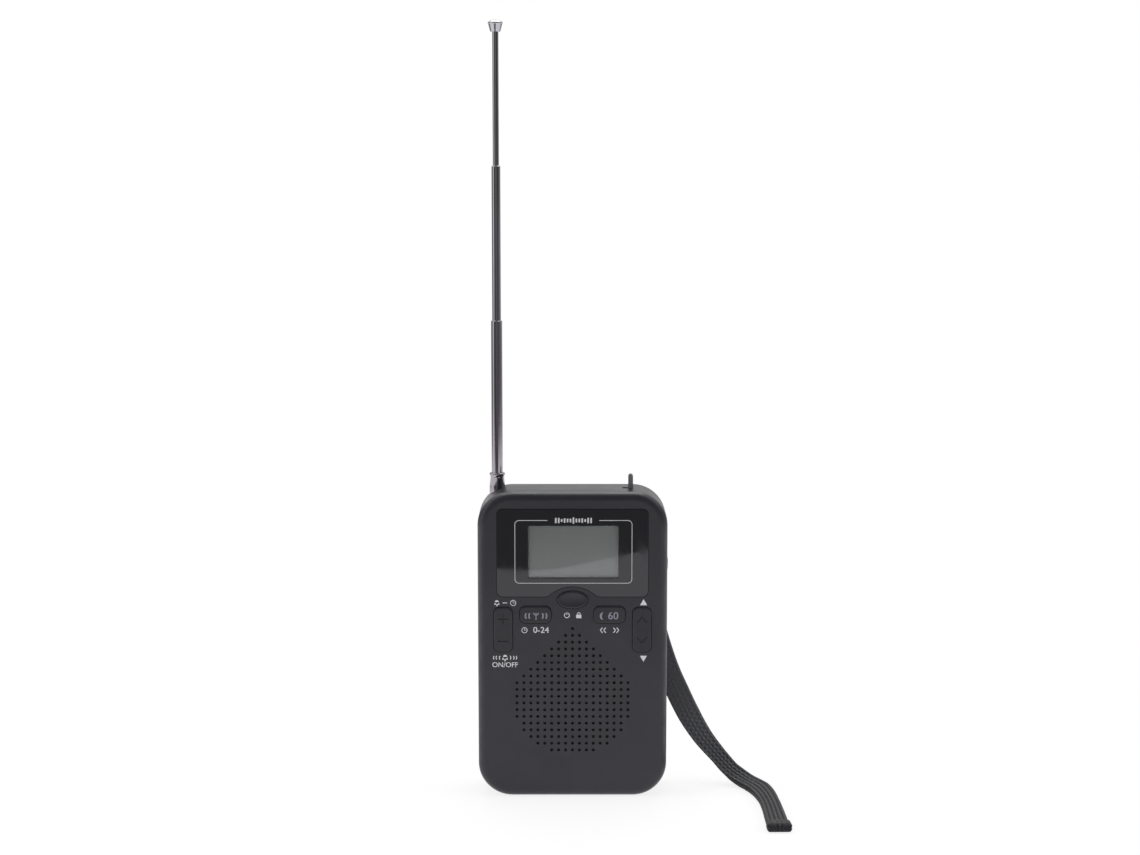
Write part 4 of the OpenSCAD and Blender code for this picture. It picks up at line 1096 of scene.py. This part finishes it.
def beaded_mast(finish):
    """The mast with a rolled bead at its mouth and a waist that widens down to the case."""
    low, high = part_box("antenna_lower_tube")
    axis_x, axis_y, _ = middle("antenna_lower_tube")
    mouth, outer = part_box("antenna_mast")[1][2], (high[0] - low[0]) / 2 + 0.2 * MM
    rings = [(mouth - drop * MM, share) for drop, share in BEAD]
    mast = copy_node("antenna_mast", "beaded_mast")
    edit(mast)
    for level, _ in rings:
        bpy.ops.mesh.select_all(action="SELECT")
        bpy.ops.mesh.bisect(plane_co=(axis_x, axis_y, level), plane_no=(0, 0, 1))
    for level, share in rings:
        stretch(mast, lambda p, level=level: abs(p.z - level) < 0.001 * MM
                and hypot(p.x - axis_x, p.y - axis_y) > outer,
                (share, share, 1), (axis_x, axis_y, level))
    smooth(mast, 50)
    dress(mast, finish, CASE)
    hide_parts("antenna_mast")


class RADIO_OT_antenna(bpy.types.Operator):
    """Plates the antenna and gives its mast a bead and a waist"""

    bl_idname = "radio.antenna"
    bl_label = "Antenna"

    def execute(self, context):
        chrome = plated("Antenna Chrome", context.scene.radio_colours.chrome)
        finish_nodes("antenna_lower_tube antenna_middle_tube antenna_tip_rod antenna_knob", chrome)
        beaded_mast(chrome)
        return {"FINISHED"}


class RADIO_OT_inside(bpy.types.Operator):
    """Finishes everything inside the case"""

    bl_idname = "radio.inside"
    bl_label = "Inner parts"

    def execute(self, context):
        black = (0.02, 0.02, 0.022)
        for names, finish in (
            ("slide_switch speaker_frame board_screws antenna_screw strap_pin",
             inner("Pressed Steel", (0.45, 0.46, 0.48), 0.32, 1.0, 1200.0, 0.15)),
            ("battery_springs battery_plates",
             inner("Nickel Contact", (0.62, 0.6, 0.56), 0.22, 1.0, 900.0, 0.12)),
            ("board_components tact_switches earphone_jack", inner("Black Component", black, 0.45)),
            ("main_board", board_finish()),
            ("battery_cell_left battery_cell_right", cell_finish()),
            ("lcd_holder", inner("White Holder", (0.6, 0.6, 0.58), 0.5)),
            ("zebra_strip", inner("Contact Rubber", (0.3, 0.1, 0.14), 0.7)),
            ("ferrite_bar", inner("Fired Ferrite", (0.03, 0.03, 0.034), 0.6)),
            ("ferrite_coil", inner("Enamelled Copper", (0.5, 0.18, 0.06), 0.3, 0.8, 3000.0)),
            ("speaker_magnet", inner("Coated Magnet", (0.06, 0.06, 0.07), 0.35, 0.6)),
            ("speaker_cone", inner("Cone Film", black, 0.4)),
            ("grille_cloth", inner("Grille Cloth", (0.2, 0.2, 0.215), 0.95, 0.0, 4000.0, 0.3, 0.8)),
            ("speaker_wires", inner("Red Wire", (0.45, 0.02, 0.02), 0.45)),
            ("battery_wires", inner("Black Wire", (0.02, 0.02, 0.02), 0.45)),
            ("antenna_wire", inner("Yellow Wire", (0.55, 0.42, 0.03), 0.45)),
        ):
            finish_nodes(names, finish)
        return {"FINISHED"}


class RADIO_OT_sides(bpy.types.Operator):
    """Adds the contact ring of the earphone socket"""

    bl_idname = "radio.sides"
    bl_label = "Side trim"

    def execute(self, context):
        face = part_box("earphone_jack")[1][0]
        mounts = {m["name"]: m["pos_m"] for m in frame["record"]["mounts"]}
        _, y, z = mounts["earphone_jack"]
        bpy.ops.mesh.primitive_cylinder_add(vertices=48, radius=2.35 * MM, depth=0.16 * MM,
                                            location=(face + 0.02 * MM, y, z),
                                            rotation=(0, pi / 2, 0))
        washer = named("jack_ring")
        choose(washer, "FACE", lambda c, n: abs(n.x) > 0.9)
        bpy.ops.mesh.inset(thickness=0.53 * MM)
        bpy.ops.mesh.bridge_edge_loops()
        leave()
        outward(washer)
        round_edges(washer, 0.05 * MM, 2)
        smooth(washer)
        metal = inner("Jack Ring", (0.62, 0.6, 0.56), 0.2, 1.0, 900.0, 0.1)
        dress(washer, metal, CASE)
        return {"FINISHED"}


STEPS = ("stage", "strap", "case", "keys", "display", "marks", "antenna", "inside", "sides")


class RADIO_PT_panel(bpy.types.Panel):
    """Lists the radio's settings and steps"""

    bl_idname = "RADIO_PT_panel"
    bl_label = "Pocket Radio"
    bl_space_type = "VIEW_3D"
    bl_region_type = "UI"
    bl_category = "Radio"

    def draw(self, context):
        for owner in (context.scene.radio_sizes, context.scene.radio_colours):
            for key in owner.__annotations__:
                self.layout.prop(owner, key)
        for step in STEPS:
            self.layout.operator("radio." + step)


CLASSES = (RadioColours, RadioSizes, RADIO_OT_stage, RADIO_OT_strap, RADIO_OT_case, RADIO_OT_keys,
           RADIO_OT_display, RADIO_OT_marks, RADIO_OT_antenna, RADIO_OT_inside, RADIO_OT_sides,
           RADIO_PT_panel)


def register():
    for item in CLASSES:
        bpy.utils.register_class(item)
    bpy.types.Scene.radio_colours = bpy.props.PointerProperty(type=RadioColours)
    bpy.types.Scene.radio_sizes = bpy.props.PointerProperty(type=RadioSizes)


def unregister():
    del bpy.types.Scene.radio_sizes
    del bpy.types.Scene.radio_colours
    for item in reversed(CLASSES):
        bpy.utils.unregister_class(item)


def main():
    register()
    for step in STEPS:
        getattr(bpy.ops.radio, step)()
    deselect()


if __name__ == "__main__":
    main()
